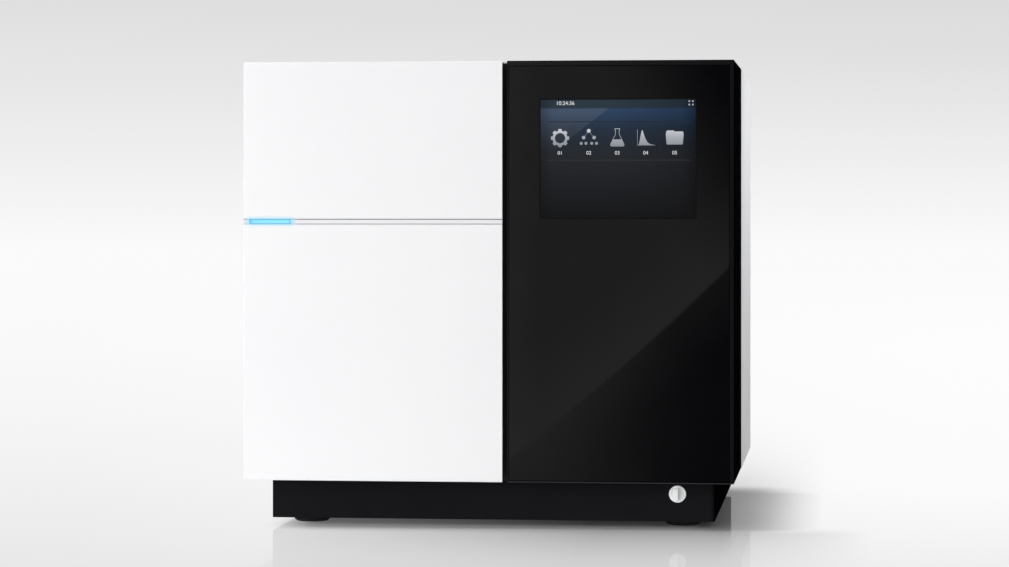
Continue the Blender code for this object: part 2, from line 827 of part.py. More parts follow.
def compartment_walls():
    """The wall between furnace and electronics, and the wall that the furnace is fixed to."""
    partition = piece(
        "partition",
        block(
            (PARTITION_LEFT, FRAME_BACK + SEAM, FLOOR_TOP),
            (PARTITION_RIGHT, INNER_REAR - SHEET - SEAM, INNER_TOP),
        ),
        "white_paint",
    )
    outlet = (PARTITION_LEFT, DRYER[1], DRYER_OUTLET_HEIGHT)
    hole = rod(TRANSFER_RADIUS + SEAM, outlet, "X", -OVERRUN, SHEET + OVERRUN)
    cut(partition, hole)
    wall = piece(
        "compartment_back_wall",
        block(
            (INNER_LEFT, BACK_WALL, FLOOR_TOP),
            (PARTITION_LEFT - SEAM, BACK_WALL + SHEET, INNER_TOP),
        ),
        "white_paint",
    )
    middle_x = (INNER_LEFT + PARTITION_LEFT) / 2
    holes = [
        rod(
            BACK_WALL_HOLE_RADIUS,
            (middle_x + offset, BACK_WALL, BOTTOM + BACK_WALL_HOLE_RISE),
            "Y",
            -OVERRUN,
            SHEET + OVERRUN,
        )
        for offset in row(2, BACK_WALL_HOLE_PITCH)
    ]
    cut(wall, *holes)


def compartment_frame():
    """Black moulded frame round the mouth of the furnace compartment. It carries hinges, seal and catch."""
    outer_low = (INNER_LEFT, BOTTOM)
    outer_high = (PARTITION_RIGHT, INNER_TOP)
    inner_low = (INNER_LEFT + FRAME_HINGE_STILE, BOTTOM + FRAME_RAIL)
    inner_high = (PARTITION_RIGHT - FRAME_FREE_STILE, INNER_TOP - FRAME_RAIL)
    frame = piece(
        "compartment_frame",
        block((outer_low[0], MOUTH, outer_low[1]), (outer_high[0], FRAME_BACK, outer_high[1])),
        "black_plastic",
    )
    cut(
        frame,
        prism(
            rounded_rectangle(inner_low, inner_high, FRAME_CORNER, SLOT_STEPS),
            "Y",
            MOUTH - OVERRUN,
            FRAME_BACK + OVERRUN,
        ),
    )
    catch_right = DOOR_RIGHT - DOOR_FRAME_INSET - CATCH_INSET + SEAM
    cut(
        frame,
        block(
            (catch_right - CATCH_WIDTH - 2 * SEAM, MOUTH - OVERRUN, BOTTOM + CATCH_RISE - SEAM),
            (catch_right, FRAME_BACK + OVERRUN, BOTTOM + CATCH_RISE + CATCH_HEIGHT + SEAM),
        ),
    )
    seal_front = FRONT + DOOR_THICKNESS + SEAM
    hole_low = (inner_low[0] - SEAL_MARGIN, inner_low[1] - SEAL_MARGIN)
    hole_high = (inner_high[0] + SEAL_MARGIN, inner_high[1] + SEAL_MARGIN)
    seal = piece(
        "door_seal",
        prism(
            rounded_rectangle(
                (hole_low[0] - SEAL_WIDTH, hole_low[1] - SEAL_WIDTH),
                (hole_high[0] + SEAL_WIDTH, hole_high[1] + SEAL_WIDTH),
                SEAL_CORNER + SEAL_WIDTH,
            ),
            "Y",
            seal_front,
            MOUTH - SEAM,
        ),
        "black_rubber",
    )
    cut(
        seal,
        prism(
            rounded_rectangle(hole_low, hole_high, SEAL_CORNER),
            "Y",
            seal_front - OVERRUN,
            MOUTH + OVERRUN,
        ),
    )


def hinge_brackets():
    """Steel hinge brackets at the door's two left corners: a leg on the frame, a tongue and a pin."""
    x, y = PIVOT
    for name, corner, inward in (
        ("hinge_bracket_upper", TOP, -1),
        ("hinge_bracket_lower", BOTTOM, 1),
    ):
        tongue_outer = corner + inward * TONGUE_DROP
        tongue_inner = tongue_outer + inward * TONGUE_THICKNESS
        heights = sorted((tongue_outer, tongue_inner))
        back = MOUTH - SEAM
        arc = [
            (
                x + TONGUE_HALF_WIDTH * math.cos(math.pi + math.pi * step / CORNER_STEPS / 2),
                y + TONGUE_HALF_WIDTH * math.sin(math.pi + math.pi * step / CORNER_STEPS / 2),
            )
            for step in range(2 * CORNER_STEPS + 1)
        ]
        plan = arc + [(x + TONGUE_HALF_WIDTH, back), (x - TONGUE_HALF_WIDTH, back)]
        bracket = piece(name, prism(plan, "Z", *heights), "steel", origin=(x, y, corner))
        leg_middle = (tongue_outer + tongue_inner) / 2 + inward * TONGUE_THICKNESS
        leg_left = INNER_LEFT + SEAM
        leg = block(
            (leg_left, back - LEG_THICKNESS, leg_middle - LEG_HEIGHT / 2),
            (leg_left + LEG_WIDTH, back, leg_middle + LEG_HEIGHT / 2),
        )
        join(bracket, leg)
        pocket_end = corner + inward * POCKET_HEIGHT
        pin_end = pocket_end + inward * (PIN_ENGAGEMENT - SEAM)
        reach = sorted((tongue_outer + inward * TONGUE_THICKNESS / 2, pin_end))
        join(bracket, rod(PIN_RADIUS, (x, y, 0), "Z", *reach))


def door():
    """The hinged door: white front plate on a black frame, liner, trim strip, light bar and strike."""
    plate = piece(
        "door_front_plate",
        block((LEFT, FRONT, BOTTOM), (DOOR_RIGHT, FRONT + DOOR_PLATE_THICKNESS, TOP)),
        "white_gloss",
    )
    soften(plate, DOOR_PLATE_EDGE)
    groove_low = GROOVE_MIDDLE - GROOVE_HEIGHT / 2
    groove_high = GROOVE_MIDDLE + GROOVE_HEIGHT / 2
    cut(
        plate,
        block(
            (LEFT - OVERRUN, FRONT - OVERRUN, groove_low),
            (DOOR_RIGHT + OVERRUN, FRONT + GROOVE_DEPTH, groove_high),
        ),
    )
    lens_left = LEFT + LENS_SETBACK
    lens_right = lens_left + LENS_LENGTH
    guide_low = GROOVE_MIDDLE - GUIDE_HEIGHT / 2
    guide_high = GROOVE_MIDDLE + GUIDE_HEIGHT / 2
    guide_left = lens_left + GUIDE_MARGIN
    guide_right = lens_right - GUIDE_MARGIN
    frame_front = FRONT + DOOR_PLATE_THICKNESS + SEAM
    web_back = frame_front + DOOR_FRAME_WEB

    def guide_slot(front, back):
        return block(
            (guide_left - SEAM, front - OVERRUN, guide_low - SEAM),
            (guide_right + SEAM, back + OVERRUN, guide_high + SEAM),
        )

    cut(plate, guide_slot(FRONT, FRONT + DOOR_PLATE_THICKNESS))
    strip_front = FRONT + STRIP_SETBACK
    strip_back = FRONT + GROOVE_DEPTH - SEAM
    strip_low = GROOVE_MIDDLE - STRIP_HEIGHT / 2
    strip_high = GROOVE_MIDDLE + STRIP_HEIGHT / 2
    strip = piece(
        "door_trim_strip",
        block(
            (LEFT + STRIP_END_GAP, strip_front, strip_low),
            (DOOR_RIGHT - STRIP_END_GAP, strip_back, strip_high),
        ),
        "white_gloss",
    )
    lens_back = strip_front + LENS_DEPTH
    cut(
        strip,
        block(
            (lens_left - SEAM, strip_front - OVERRUN, strip_low - OVERRUN),
            (lens_right + SEAM, lens_back + SEAM, strip_high + OVERRUN),
        ),
    )
    cut(strip, guide_slot(lens_back, strip_back))
    lens = piece(
        "status_light_lens",
        block((lens_left, strip_front, strip_low), (lens_right, lens_back, strip_high)),
        "light_bar",
    )
    join(
        lens,
        block(
            (guide_left, lens_back - LENS_DEPTH / 2, guide_low),
            (guide_right, web_back, guide_high),
        ),
    )
    board_front = web_back + SEAM
    board = piece(
        "status_light_board",
        block(
            (lens_left, board_front, GROOVE_MIDDLE - LIGHT_BOARD_HEIGHT / 2),
            (lens_right, board_front + LIGHT_BOARD_THICKNESS, GROOVE_MIDDLE + LIGHT_BOARD_HEIGHT / 2),
        ),
        "circuit_board",
    )
    frame_low = (LEFT + DOOR_FRAME_INSET, BOTTOM + DOOR_FRAME_INSET)
    frame_high = (DOOR_RIGHT - DOOR_FRAME_INSET, TOP - DOOR_FRAME_INSET)
    back = FRONT + DOOR_THICKNESS
    frame = piece(
        "door_frame",
        block((frame_low[0], frame_front, frame_low[1]), (frame_high[0], back, frame_high[1])),
        "black_plastic",
    )
    soften(frame, DOOR_PLATE_EDGE)
    hollow_low = (frame_low[0] + DOOR_HINGE_STILE, frame_low[1] + DOOR_RAIL)
    hollow_high = (frame_high[0] - DOOR_FREE_STILE, frame_high[1] - DOOR_RAIL)
    cut(
        frame,
        block((hollow_low[0], web_back, hollow_low[1]), (hollow_high[0], back + OVERRUN, hollow_high[1])),
    )
    rebate_front = back - LINER_SHEET - 2 * SEAM
    rebate_low = (hollow_low[0] - DOOR_LEDGE, hollow_low[1] - DOOR_LEDGE)
    rebate_high = (hollow_high[0] + DOOR_LEDGE, hollow_high[1] + DOOR_LEDGE)
    cut(
        frame,
        block((rebate_low[0], rebate_front, rebate_low[1]), (rebate_high[0], back + OVERRUN, rebate_high[1])),
    )
    cut(frame, guide_slot(frame_front, web_back))
    cut(
        frame,
        block(
            (lens_left - SEAM, web_back, GROOVE_MIDDLE - LIGHT_BOARD_HEIGHT / 2 - SEAM),
            (
                hollow_low[0] + OVERRUN,
                board_front + LIGHT_BOARD_THICKNESS + SEAM,
                GROOVE_MIDDLE + LIGHT_BOARD_HEIGHT / 2 + SEAM,
            ),
        ),
    )
    finger_right = DOOR_RIGHT - FINGER_OFFSET
    cut(
        frame,
        block(
            (finger_right - FINGER_WIDTH, web_back, BOTTOM - OVERRUN),
            (finger_right, rebate_front - DOOR_LEDGE, frame_low[1] + FINGER_RISE),
        ),
    )
    x, y = PIVOT
    for corner, inward in ((TOP, -1), (BOTTOM, 1)):
        ends = sorted((corner - inward * OVERRUN, corner + inward * POCKET_HEIGHT))
        cut(
            frame,
            block(
                (LEFT - OVERRUN, frame_front + SEAM, ends[0]),
                (LEFT + POCKET_WIDTH, back + OVERRUN, ends[1]),
            ),
        )
        start = corner + inward * (POCKET_HEIGHT - OVERRUN)
        stop = corner + inward * (POCKET_HEIGHT + PIN_ENGAGEMENT)
        cut(frame, rod(PIN_RADIUS + PIN_CLEARANCE, (x, y, 0), "Z", *sorted((start, stop))))
    strike_right = DOOR_RIGHT - DOOR_FRAME_INSET - CATCH_INSET
    strike_low = BOTTOM + CATCH_RISE
    strike_sink = STRIKE_THICKNESS + SEAM
    cut(
        frame,
        block(
            (strike_right - CATCH_WIDTH - SEAM, back - strike_sink, strike_low - SEAM),
            (strike_right + SEAM, back + OVERRUN, strike_low + CATCH_HEIGHT + SEAM),
        ),
    )
    strike = piece(
        "door_strike",
        block(
            (strike_right - CATCH_WIDTH, back - STRIKE_THICKNESS, strike_low),
            (strike_right, back, strike_low + CATCH_HEIGHT),
        ),
        "zinc",
    )
    liner = piece(
        "door_liner",
        block(
            (rebate_low[0] + SEAM, rebate_front + SEAM, rebate_low[1] + SEAM),
            (rebate_high[0] - SEAM, rebate_front + SEAM + LINER_SHEET, rebate_high[1] - SEAM),
        ),
        "white_paint",
    )
    middle_x = (rebate_low[0] + rebate_high[0]) / 2
    span = (LINER_SLOTS - 1) * LINER_SLOT_PITCH / 2
    for row_middle in (
        rebate_low[1] + LINER_SLOT_MARGIN + span,
        rebate_high[1] - LINER_SLOT_MARGIN - span,
    ):
        cut(
            liner,
            *[
                prism(
                    slot(middle_x, row_middle + offset, LINER_SLOT_LENGTH, LINER_SLOT_WIDTH),
                    "Y",
                    rebate_front - OVERRUN,
                    back + OVERRUN,
                )
                for offset in row(LINER_SLOTS, LINER_SLOT_PITCH)
            ],
        )
    carry("door_hinge_axis", (x, y, BOTTOM), plate, strip, lens, board, frame, strike, liner)
    catch_back = MOUTH + MAGNET_BODY_DEPTH
    piece(
        "magnet_catch",
        block(
            (strike_right - CATCH_WIDTH, back + SEAM, strike_low),
            (strike_right, catch_back, strike_low + CATCH_HEIGHT),
        ),
        "zinc",
    )


def front_housing():
    """Black folded housing round the right front: open behind, with a rebate in front for the glass."""
    housing = piece(
        "front_housing",
        block((HOUSING_LEFT, FRONT, BOTTOM), (RIGHT, FRONT + HOUSING_DEPTH, TOP)),
        "black_paint",
    )
    soften(housing, HOUSING_EDGE)
    glass_low = (HOUSING_LEFT + GLASS_GAP_STRIP, BOTTOM + GLASS_BOTTOM_STRIP)
    glass_high = (RIGHT - GLASS_SIDE_STRIP, TOP - GLASS_TOP_STRIP)
    glass_front = FRONT + GLASS_SETBACK
    glass_back = glass_front + GLASS_THICKNESS
    rebate_back = glass_back + SEAM
    cavity_front = rebate_back + LEDGE_THICKNESS
    cut(
        housing,
        block(
            (HOUSING_LEFT + HOUSING_WALL, cavity_front, BOTTOM + HOUSING_WALL),
            (RIGHT - HOUSING_WALL, FRONT + HOUSING_DEPTH + OVERRUN, TOP - HOUSING_WALL),
        ),
    )
    cut(
        housing,
        block(
            (glass_low[0] - SEAM, FRONT - OVERRUN, glass_low[1] - SEAM),
            (glass_high[0] + SEAM, rebate_back, glass_high[1] + SEAM),
        ),
    )
    cut(
        housing,
        block(
            (glass_low[0] + LEDGE_WIDTH, FRONT - OVERRUN, glass_low[1] + LEDGE_WIDTH),
            (glass_high[0] - LEDGE_WIDTH, cavity_front + OVERRUN, glass_high[1] - LEDGE_WIDTH),
        ),
    )
    passage = (HOUSING_LEFT, DRYER[1], DRYER_OUTLET_HEIGHT)
    cut(housing, rod(TRANSFER_RADIUS + SEAM, passage, "X", -OVERRUN, HOUSING_WALL + OVERRUN))
    glass = piece(
        "glass_front_panel",
        block((glass_low[0], glass_front, glass_low[1]), (glass_high[0], glass_back, glass_high[1])),
        "black_gloss",
    )
    soften(glass, GLASS_EDGE, 1)
    screen_high = (glass_high[0] - SCREEN_RIGHT_MARGIN, glass_high[1] - SCREEN_TOP_MARGIN)
    screen_left = glass_low[0] + SCREEN_LEFT_MARGIN
    screen_height = (screen_high[0] - screen_left) * SCREEN_HEIGHT_SHARE
    screen_low = (screen_left, screen_high[1] - screen_height)
    cut(
        glass,
        block(
            (screen_low[0] - SCREEN_SEAM, glass_front - OVERRUN, screen_low[1] - SCREEN_SEAM),
            (screen_high[0] + SCREEN_SEAM, glass_back + OVERRUN, screen_high[1] + SCREEN_SEAM),
        ),
    )
    piece(
        "touch_screen",
        block((screen_low[0], glass_front, screen_low[1]), (screen_high[0], glass_back, screen_high[1])),
        "display",
    )
    module_front = rebate_back
    module = piece(
        "display_module",
        block(
            (screen_low[0] - MODULE_MARGIN, module_front, screen_low[1] - MODULE_MARGIN),
            (screen_high[0] + MODULE_MARGIN, module_front + MODULE_STEP, screen_high[1] + MODULE_MARGIN),
        ),
        "zinc",
    )
    join(
        module,
        block(
            (screen_low[0] + MODULE_MARGIN, module_front + MODULE_STEP / 2, screen_low[1] + MODULE_MARGIN),
            (screen_high[0] - MODULE_MARGIN, module_front + MODULE_DEPTH, screen_high[1] - MODULE_MARGIN),
        ),
    )


def side_covers():
    """White steel side covers. The right one steps in at its front edge and laps inside the housing."""
    piece(
        "left_side_cover",
        prism(
            [
                (LEFT, MOUTH),
                (LEFT + SHEET, MOUTH),
                (LEFT + SHEET, REAR),
                (LEFT, REAR),
            ],
            "Z",
            BOTTOM,
            TOP,
        ),
        "white_paint",
    )
    lap_outer = RIGHT - HOUSING_WALL - SEAM
    lap_inner = lap_outer - SHEET
    plan = [
        (RIGHT, COVER_START),
        (RIGHT, REAR),
        (RIGHT - SHEET, REAR),
        (RIGHT - SHEET, COVER_START + 2 * SHEET),
        (lap_inner, COVER_START + SHEET),
        (lap_inner, COVER_START - LAP),
        (lap_outer, COVER_START - LAP),
        (lap_outer, COVER_START),
    ]
    cover = piece("right_side_cover", prism(plan, "Z", BOTTOM, TOP), "white_paint")
    for low, high in (
        (BOTTOM - OVERRUN, BOTTOM + HOUSING_WALL + SEAM),
        (TOP - HOUSING_WALL - SEAM, TOP + OVERRUN),
    ):
        cut(
            cover,
            block(
                (lap_inner - OVERRUN, COVER_START - LAP - OVERRUN, low),
                (RIGHT - SHEET, COVER_START + 2 * SHEET, high),
            ),
        )


def top_cover():
    """White steel top with a flange down inside the rear panel, a vent field and the round port opening."""
    plan = stepped_plan(INNER_LEFT, MOUTH, PARTITION_RIGHT, COVER_START, INNER_RIGHT, INNER_REAR)
    cover = piece("top_cover", prism(plan, "Z", TOP - COVER_FLANGE, TOP), "white_paint")
    hollow = stepped_plan(
        INNER_LEFT - OVERRUN,
        MOUTH - OVERRUN,
        PARTITION_RIGHT + OVERRUN,
        COVER_START - OVERRUN,
        INNER_RIGHT + OVERRUN,
        INNER_REAR - SHEET,
    )
    cut(cover, prism(hollow, "Z", TOP - COVER_FLANGE - OVERRUN, TOP - SHEET))
    opening = COVER_RADIUS + COVER_GAP
    cut(cover, rod(opening, (*PORT, TOP), "Z", -SHEET - OVERRUN, OVERRUN, WIDE_STEPS))
    vents = [
        prism(
            slot(PORT[0], FRONT + VENT_SETBACK + offset, VENT_LENGTH, VENT_WIDTH),
            "Z",
            TOP - SHEET - OVERRUN,
            TOP + OVERRUN,
        )
        for offset in row(VENT_SLOTS, VENT_PITCH)
    ]
    cut(cover, *vents)


def injection_port():
    """Sleeve that hangs under the top cover, and the lift-off cover that closes it flush."""
    well_top = -SHEET - SEAM
    well_bottom = HEAD_TOP + SEAM - TOP
    bore = COVER_RADIUS - WELL_LEDGE
    outer = bore + WELL_WALL
    well = [
        (bore, well_bottom),
        (outer, well_bottom),
        (outer, well_top - WELL_WALL),
        (COVER_RADIUS + WELL_FLANGE, well_top - WELL_WALL),
        (COVER_RADIUS + WELL_FLANGE, well_top),
        (bore, well_top),
    ]
    place = (*PORT, TOP)
    piece("port_well", turned(well, place, steps=WIDE_STEPS, closed=True), "grey_plastic", smooth=True)
    dish = COVER_RADIUS - COVER_RIM
    low = -COVER_DISH_DEPTH
    cover = [
        (0, low),
        (dish - COVER_DISH_SLOPE, low),
        (dish, 0),
        (COVER_RADIUS, 0),
        (COVER_RADIUS, -SHEET),
        (dish + COVER_WALL / 2, -SHEET),
        (dish - COVER_DISH_SLOPE, low - COVER_WALL),
        (0, low - COVER_WALL),
    ]
    lid = piece(
        "port_cover",
        turned(cover, place, steps=WIDE_STEPS),
        "white_plastic",
        origin=place,
        smooth=True,
    )
    grip = dish - COVER_DISH_SLOPE / 2
    half = COVER_GRIP_WIDTH / 2
    join(
        lid,
        block(
            (PORT[0] - grip, PORT[1] - half, TOP + low - COVER_WALL / 2),
            (PORT[0] + grip, PORT[1] + half, TOP - SEAM),
        ),
    )


def injection_head():
    """Turned steel head on the combustion tube, whose plate floors the port's sleeve, and its ribbed nut."""
    place = (*PORT, HEAD_BOTTOM)
    boss_top = HEAD_HEIGHT + HEAD_BOSS_HEIGHT
    socket_radius = TUBE_RADIUS + SEAM
    plate_radius = COVER_RADIUS - WELL_LEDGE + WELL_WALL
    profile = [
        (socket_radius, 0),
        (HEAD_RADIUS, 0),
        (HEAD_RADIUS, HEAD_HEIGHT - HEAD_PLATE_HEIGHT),
        (plate_radius, HEAD_HEIGHT - HEAD_PLATE_HEIGHT),
        (plate_radius, HEAD_HEIGHT),
        (HEAD_BOSS_RADIUS, HEAD_HEIGHT),
        (HEAD_BOSS_RADIUS, boss_top),
        (HEAD_CHANNEL_RADIUS, boss_top),
        (HEAD_CHANNEL_RADIUS, HEAD_SOCKET_DEPTH),
        (socket_radius, HEAD_SOCKET_DEPTH),
    ]
    head = piece("injection_head", turned(profile, place, closed=True), "steel", smooth=True)
    middle_height = HEAD_SOCKET_DEPTH + HEAD_ARM_RADIUS + SEAM
    arms = [
        rod(HEAD_ARM_RADIUS, (PORT[0], PORT[1], HEAD_BOTTOM + middle_height), "X", start, end)
        for start, end in (
            (-HEAD_ARM_LENGTH, -socket_radius),
            (socket_radius, HEAD_ARM_LENGTH),
        )
    ]
    join(head, *arms)
    nut_bottom = HEAD_TOP + SEAM
    bore = HEAD_BOSS_RADIUS + SEAM
    roof = nut_bottom + NUT_HEIGHT - NUT_WALL
    outline = []
    for index in range(2 * NUT_RIBS):
        radius = NUT_RADIUS - (index % 2) * NUT_RIB_DEPTH
        for shift in NUT_RIB_SHARES:
            angle = math.tau * (index + shift) / (2 * NUT_RIBS)
            outline.append((PORT[0] + radius * math.cos(angle), PORT[1] + radius * math.sin(angle)))
    nut = piece(
        "septum_nut",
        prism(outline, "Z", nut_bottom, nut_bottom + NUT_HEIGHT),
        "steel",
        origin=(*PORT, nut_bottom),
    )
    cut(nut, rod(bore, (*PORT, 0), "Z", nut_bottom - OVERRUN, roof, ROUND_STEPS))
    cut(nut, rod(NUT_HOLE_RADIUS, (*PORT, 0), "Z", roof - OVERRUN, TOP - NUT_TOP_DROP + OVERRUN))


def furnace():
    """Furnace casing with louvres in its face, bored for the ceramic core, which the tube passes."""
    x, y = PORT
    low = (x - FURNACE_WIDTH / 2, y - FURNACE_DEPTH / 2)
    high = (x + FURNACE_WIDTH / 2, BACK_WALL - SEAM)
    casing = piece(
        "furnace_casing",
        prism(rounded_rectangle(low, high, FURNACE_CORNER), "Z", FURNACE_BOTTOM, FURNACE_TOP),
        "zinc",
    )
    bore = rod(
        CORE_RADIUS + SEAM, (x, y, 0), "Z", FURNACE_BOTTOM - OVERRUN, FURNACE_TOP + OVERRUN, ROUND_STEPS
    )
    cut(casing, bore)
    mid = (FURNACE_BOTTOM + FURNACE_TOP) / 2
    louvres = [
        prism(
            slot(x, mid + offset, LOUVRE_LENGTH, LOUVRE_WIDTH),
            "Y",
            low[1] - OVERRUN,
            low[1] + LOUVRE_DEPTH,
        )
        for offset in row(LOUVRES, LOUVRE_PITCH)
    ]
    cut(casing, *louvres)
    bore_radius = TUBE_RADIUS + SEAM
    core = [
        (bore_radius, CORE_BOTTOM),
        (CORE_RADIUS, CORE_BOTTOM),
        (CORE_RADIUS, CORE_TOP),
        (bore_radius, CORE_TOP),
    ]
    piece("heater_core", turned(core, (x, y, 0), closed=True), "ceramic", smooth=True)


def ball_arc(radius, start, end, steps):
    """Profile points on a ball about the middle of the joint, from one angle below the axis to another."""
    points = []
    for step in range(steps + 1):
        angle = start + (end - start) * step / steps
        points.append((radius * math.cos(angle), BALL_MIDDLE + radius * math.sin(angle)))
    return points


def combustion_tube():
    """Quartz tube: straight barrel through the core, shoulder, narrow neck and a ball end at the bottom."""
    x, y = PORT
    top = HEAD_BOTTOM + HEAD_SOCKET_DEPTH - SEAM
    inner = TUBE_RADIUS - TUBE_WALL
    open_angle = -math.acos(NECK_BORE / BALL_RADIUS)
    neck_angle = math.acos(NECK_RADIUS / BALL_RADIUS)
    profile = ball_arc(BALL_RADIUS, open_angle, neck_angle, BALL_STEPS)
    profile += [
        (NECK_RADIUS, NECK_TOP),
        (TUBE_RADIUS, SHOULDER_TOP),
        (TUBE_RADIUS, top),
        (inner, top),
        (inner, SHOULDER_TOP),
        (NECK_BORE, NECK_TOP),
    ]
    piece("combustion_tube", turned(profile, (x, y, 0), closed=True), "quartz", smooth=True)
    cup = BALL_RADIUS + SEAM
    shell = cup + SOCKET_WALL
    bottom_angle = -math.acos(OUTLET_BORE / cup)
    socket = ball_arc(cup, 0, bottom_angle, BALL_STEPS)
    outer_angle = -math.acos(OUTLET_RADIUS / shell)
    socket += [(OUTLET_BORE, OUTLET_END), (OUTLET_RADIUS, OUTLET_END)]
    socket += ball_arc(shell, outer_angle, -math.asin(SOCKET_RIM_HEIGHT / shell), BALL_STEPS)
    socket += [
        (SOCKET_RIM_RADIUS, BALL_MIDDLE - SOCKET_RIM_HEIGHT),
        (SOCKET_RIM_RADIUS, BALL_MIDDLE),
    ]
    joint = turned(socket, (x, y, 0), steps=SMALL_STEPS, closed=True)
    piece("outlet_joint", joint, "quartz", smooth=True)


def tube_clamp():
    """Spring steel fork clamp: two slotted plates on a back web hold the ball in its socket."""
    x, y = PORT
    low_plate = BALL_MIDDLE - SOCKET_RIM_HEIGHT - SEAM
    high_plate = BALL_MIDDLE + BALL_RADIUS * BALL_BORE_SHARE + NECK_RADIUS
    half = CLAMP_WIDTH / 2
    back = y + CLAMP_DEPTH / 2
    clamp = piece(
        "tube_clamp",
        block(
            (x - half, y - CLAMP_DEPTH / 2, low_plate - CLAMP_PLATE),
            (x + half, back, high_plate + CLAMP_PLATE),
        ),
        "steel",
    )
    cut(
        clamp,
        block(
            (x - half - OVERRUN, y - CLAMP_DEPTH, low_plate),
            (x + half + OVERRUN, back - CLAMP_PLATE, high_plate),
        ),
    )
    lower = BALL_RADIUS + SOCKET_WALL + 2 * SEAM
    upper = NECK_RADIUS + SEAM
    for radius, start, end in (
        (lower, low_plate - CLAMP_PLATE - OVERRUN, low_plate + OVERRUN),
        (upper, high_plate - OVERRUN, high_plate + CLAMP_PLATE + OVERRUN),
    ):
        arc = [
            (x + radius * math.cos(angle), y + radius * math.sin(angle))
            for angle in (math.tau * step / ROUND_STEPS for step in range(ROUND_STEPS // 2 + 1))
        ]
        outline = arc + [(x - radius, y - CLAMP_DEPTH), (x + radius, y - CLAMP_DEPTH)]
        cut(clamp, prism(outline, "Z", start, end))


def dryer():
    """Dryer cartridge held by two rings on a steel bracket, with the tubes that lead in and out."""
    x, y = DRYER
    piece(
        "dryer_body",
        rod(DRYER_RADIUS, (x, y, 0), "Z", DRYER_BOTTOM, DRYER_TOP, ROUND_STEPS),
        "clear_plastic",
        smooth=True,
    )
    socket = DRYER_RADIUS + SEAM
    for name, end, outward in (
        ("dryer_cap_upper", DRYER_TOP, 1),
        ("dryer_cap_lower", DRYER_BOTTOM, -1),
    ):
        profile = [
            (0, SEAM),
            (socket, SEAM),
            (socket, -CAP_SOCKET),
            (CAP_RADIUS, -CAP_SOCKET),
            (CAP_RADIUS, CAP_HEIGHT - CAP_SOCKET),
            (NOZZLE_RADIUS, CAP_HEIGHT - CAP_SOCKET),
            (NOZZLE_RADIUS, CAP_HEIGHT - CAP_SOCKET + NOZZLE_LENGTH),
            (0, CAP_HEIGHT - CAP_SOCKET + NOZZLE_LENGTH),
        ]
        placed = [(radius, end + outward * along) for radius, along in profile]
        piece(name, turned(placed, (x, y, 0)), "white_plastic", smooth=True)
    ring_inner = DRYER_RADIUS + SEAM
    ring_outer = ring_inner + BRACKET_RING_WALL
    plate_right = PARTITION_LEFT - SEAM
    plate_left = plate_right - BRACKET_THICKNESS
    rings = (DRYER_BOTTOM + BRACKET_MARGIN, DRYER_TOP - BRACKET_MARGIN)
    half = BRACKET_WIDTH / 2
    bracket = piece(
        "dryer_bracket",
        block(
            (plate_left, y - half, rings[0] - BRACKET_MARGIN / 2),
            (plate_right, y + half, rings[1] + BRACKET_MARGIN / 2),
        ),
        "steel",
    )
    mouth = math.asin(BRACKET_MOUTH / 2 / ring_outer)
    arcs = []
    for radius in (ring_outer, ring_inner):
        arcs.append(
            [
                (x - radius * math.cos(angle), y + radius * math.sin(angle))
                for angle in (
                    mouth + (math.tau - 2 * mouth) * step / ROUND_STEPS for step in range(ROUND_STEPS + 1)
                )
            ]
        )
    clip = arcs[0] + arcs[1][::-1]
    arm_left = x + ring_inner + BRACKET_RING_WALL / 2
    for height in rings:
        join(bracket, prism(clip, "Z", height - half / 2, height + half / 2))
        join(
            bracket,
            block(
                (arm_left, y - half / 2, height - half / 2 + BRACKET_THICKNESS),
                (plate_left + BRACKET_THICKNESS / 2, y + half / 2, height + half / 2 - BRACKET_THICKNESS),
            ),
        )
    nozzle = CAP_HEIGHT - CAP_SOCKET + NOZZLE_LENGTH + SEAM
    start = (PORT[0], PORT[1], OUTLET_END - SEAM)
    end = (x, y, DRYER_BOTTOM - nozzle)
    leave = (start[0], start[1], start[2] - TUBE_LEAD)
    arrive = (x, y, end[2] - TUBE_LEAD)
    low = leave[2] - TRANSFER_SAG
    curve = bezier(leave, (*leave[:2], low), (x, y, low), arrive, TRANSFER_STEPS)
    tube_along("transfer_tube", [start, *curve, end], TRANSFER_RADIUS, "white_plastic")
    start = (x, y, DRYER_TOP + nozzle)
    corner = DRYER_OUTLET_HEIGHT
    leave = (x, y, start[2] + TUBE_LEAD)
    arrive = (PARTITION_LEFT - TUBE_LEAD, y, corner)
    curve = bezier(leave, (x, y, corner), (x, y, corner), arrive, OUTLET_STEPS)
    end = (HOUSING_LEFT + HOUSING_WALL + TUBE_LEAD, y, corner)
    tube_along("dryer_outlet_tube", [start, *curve, end], TRANSFER_RADIUS, "white_plastic")


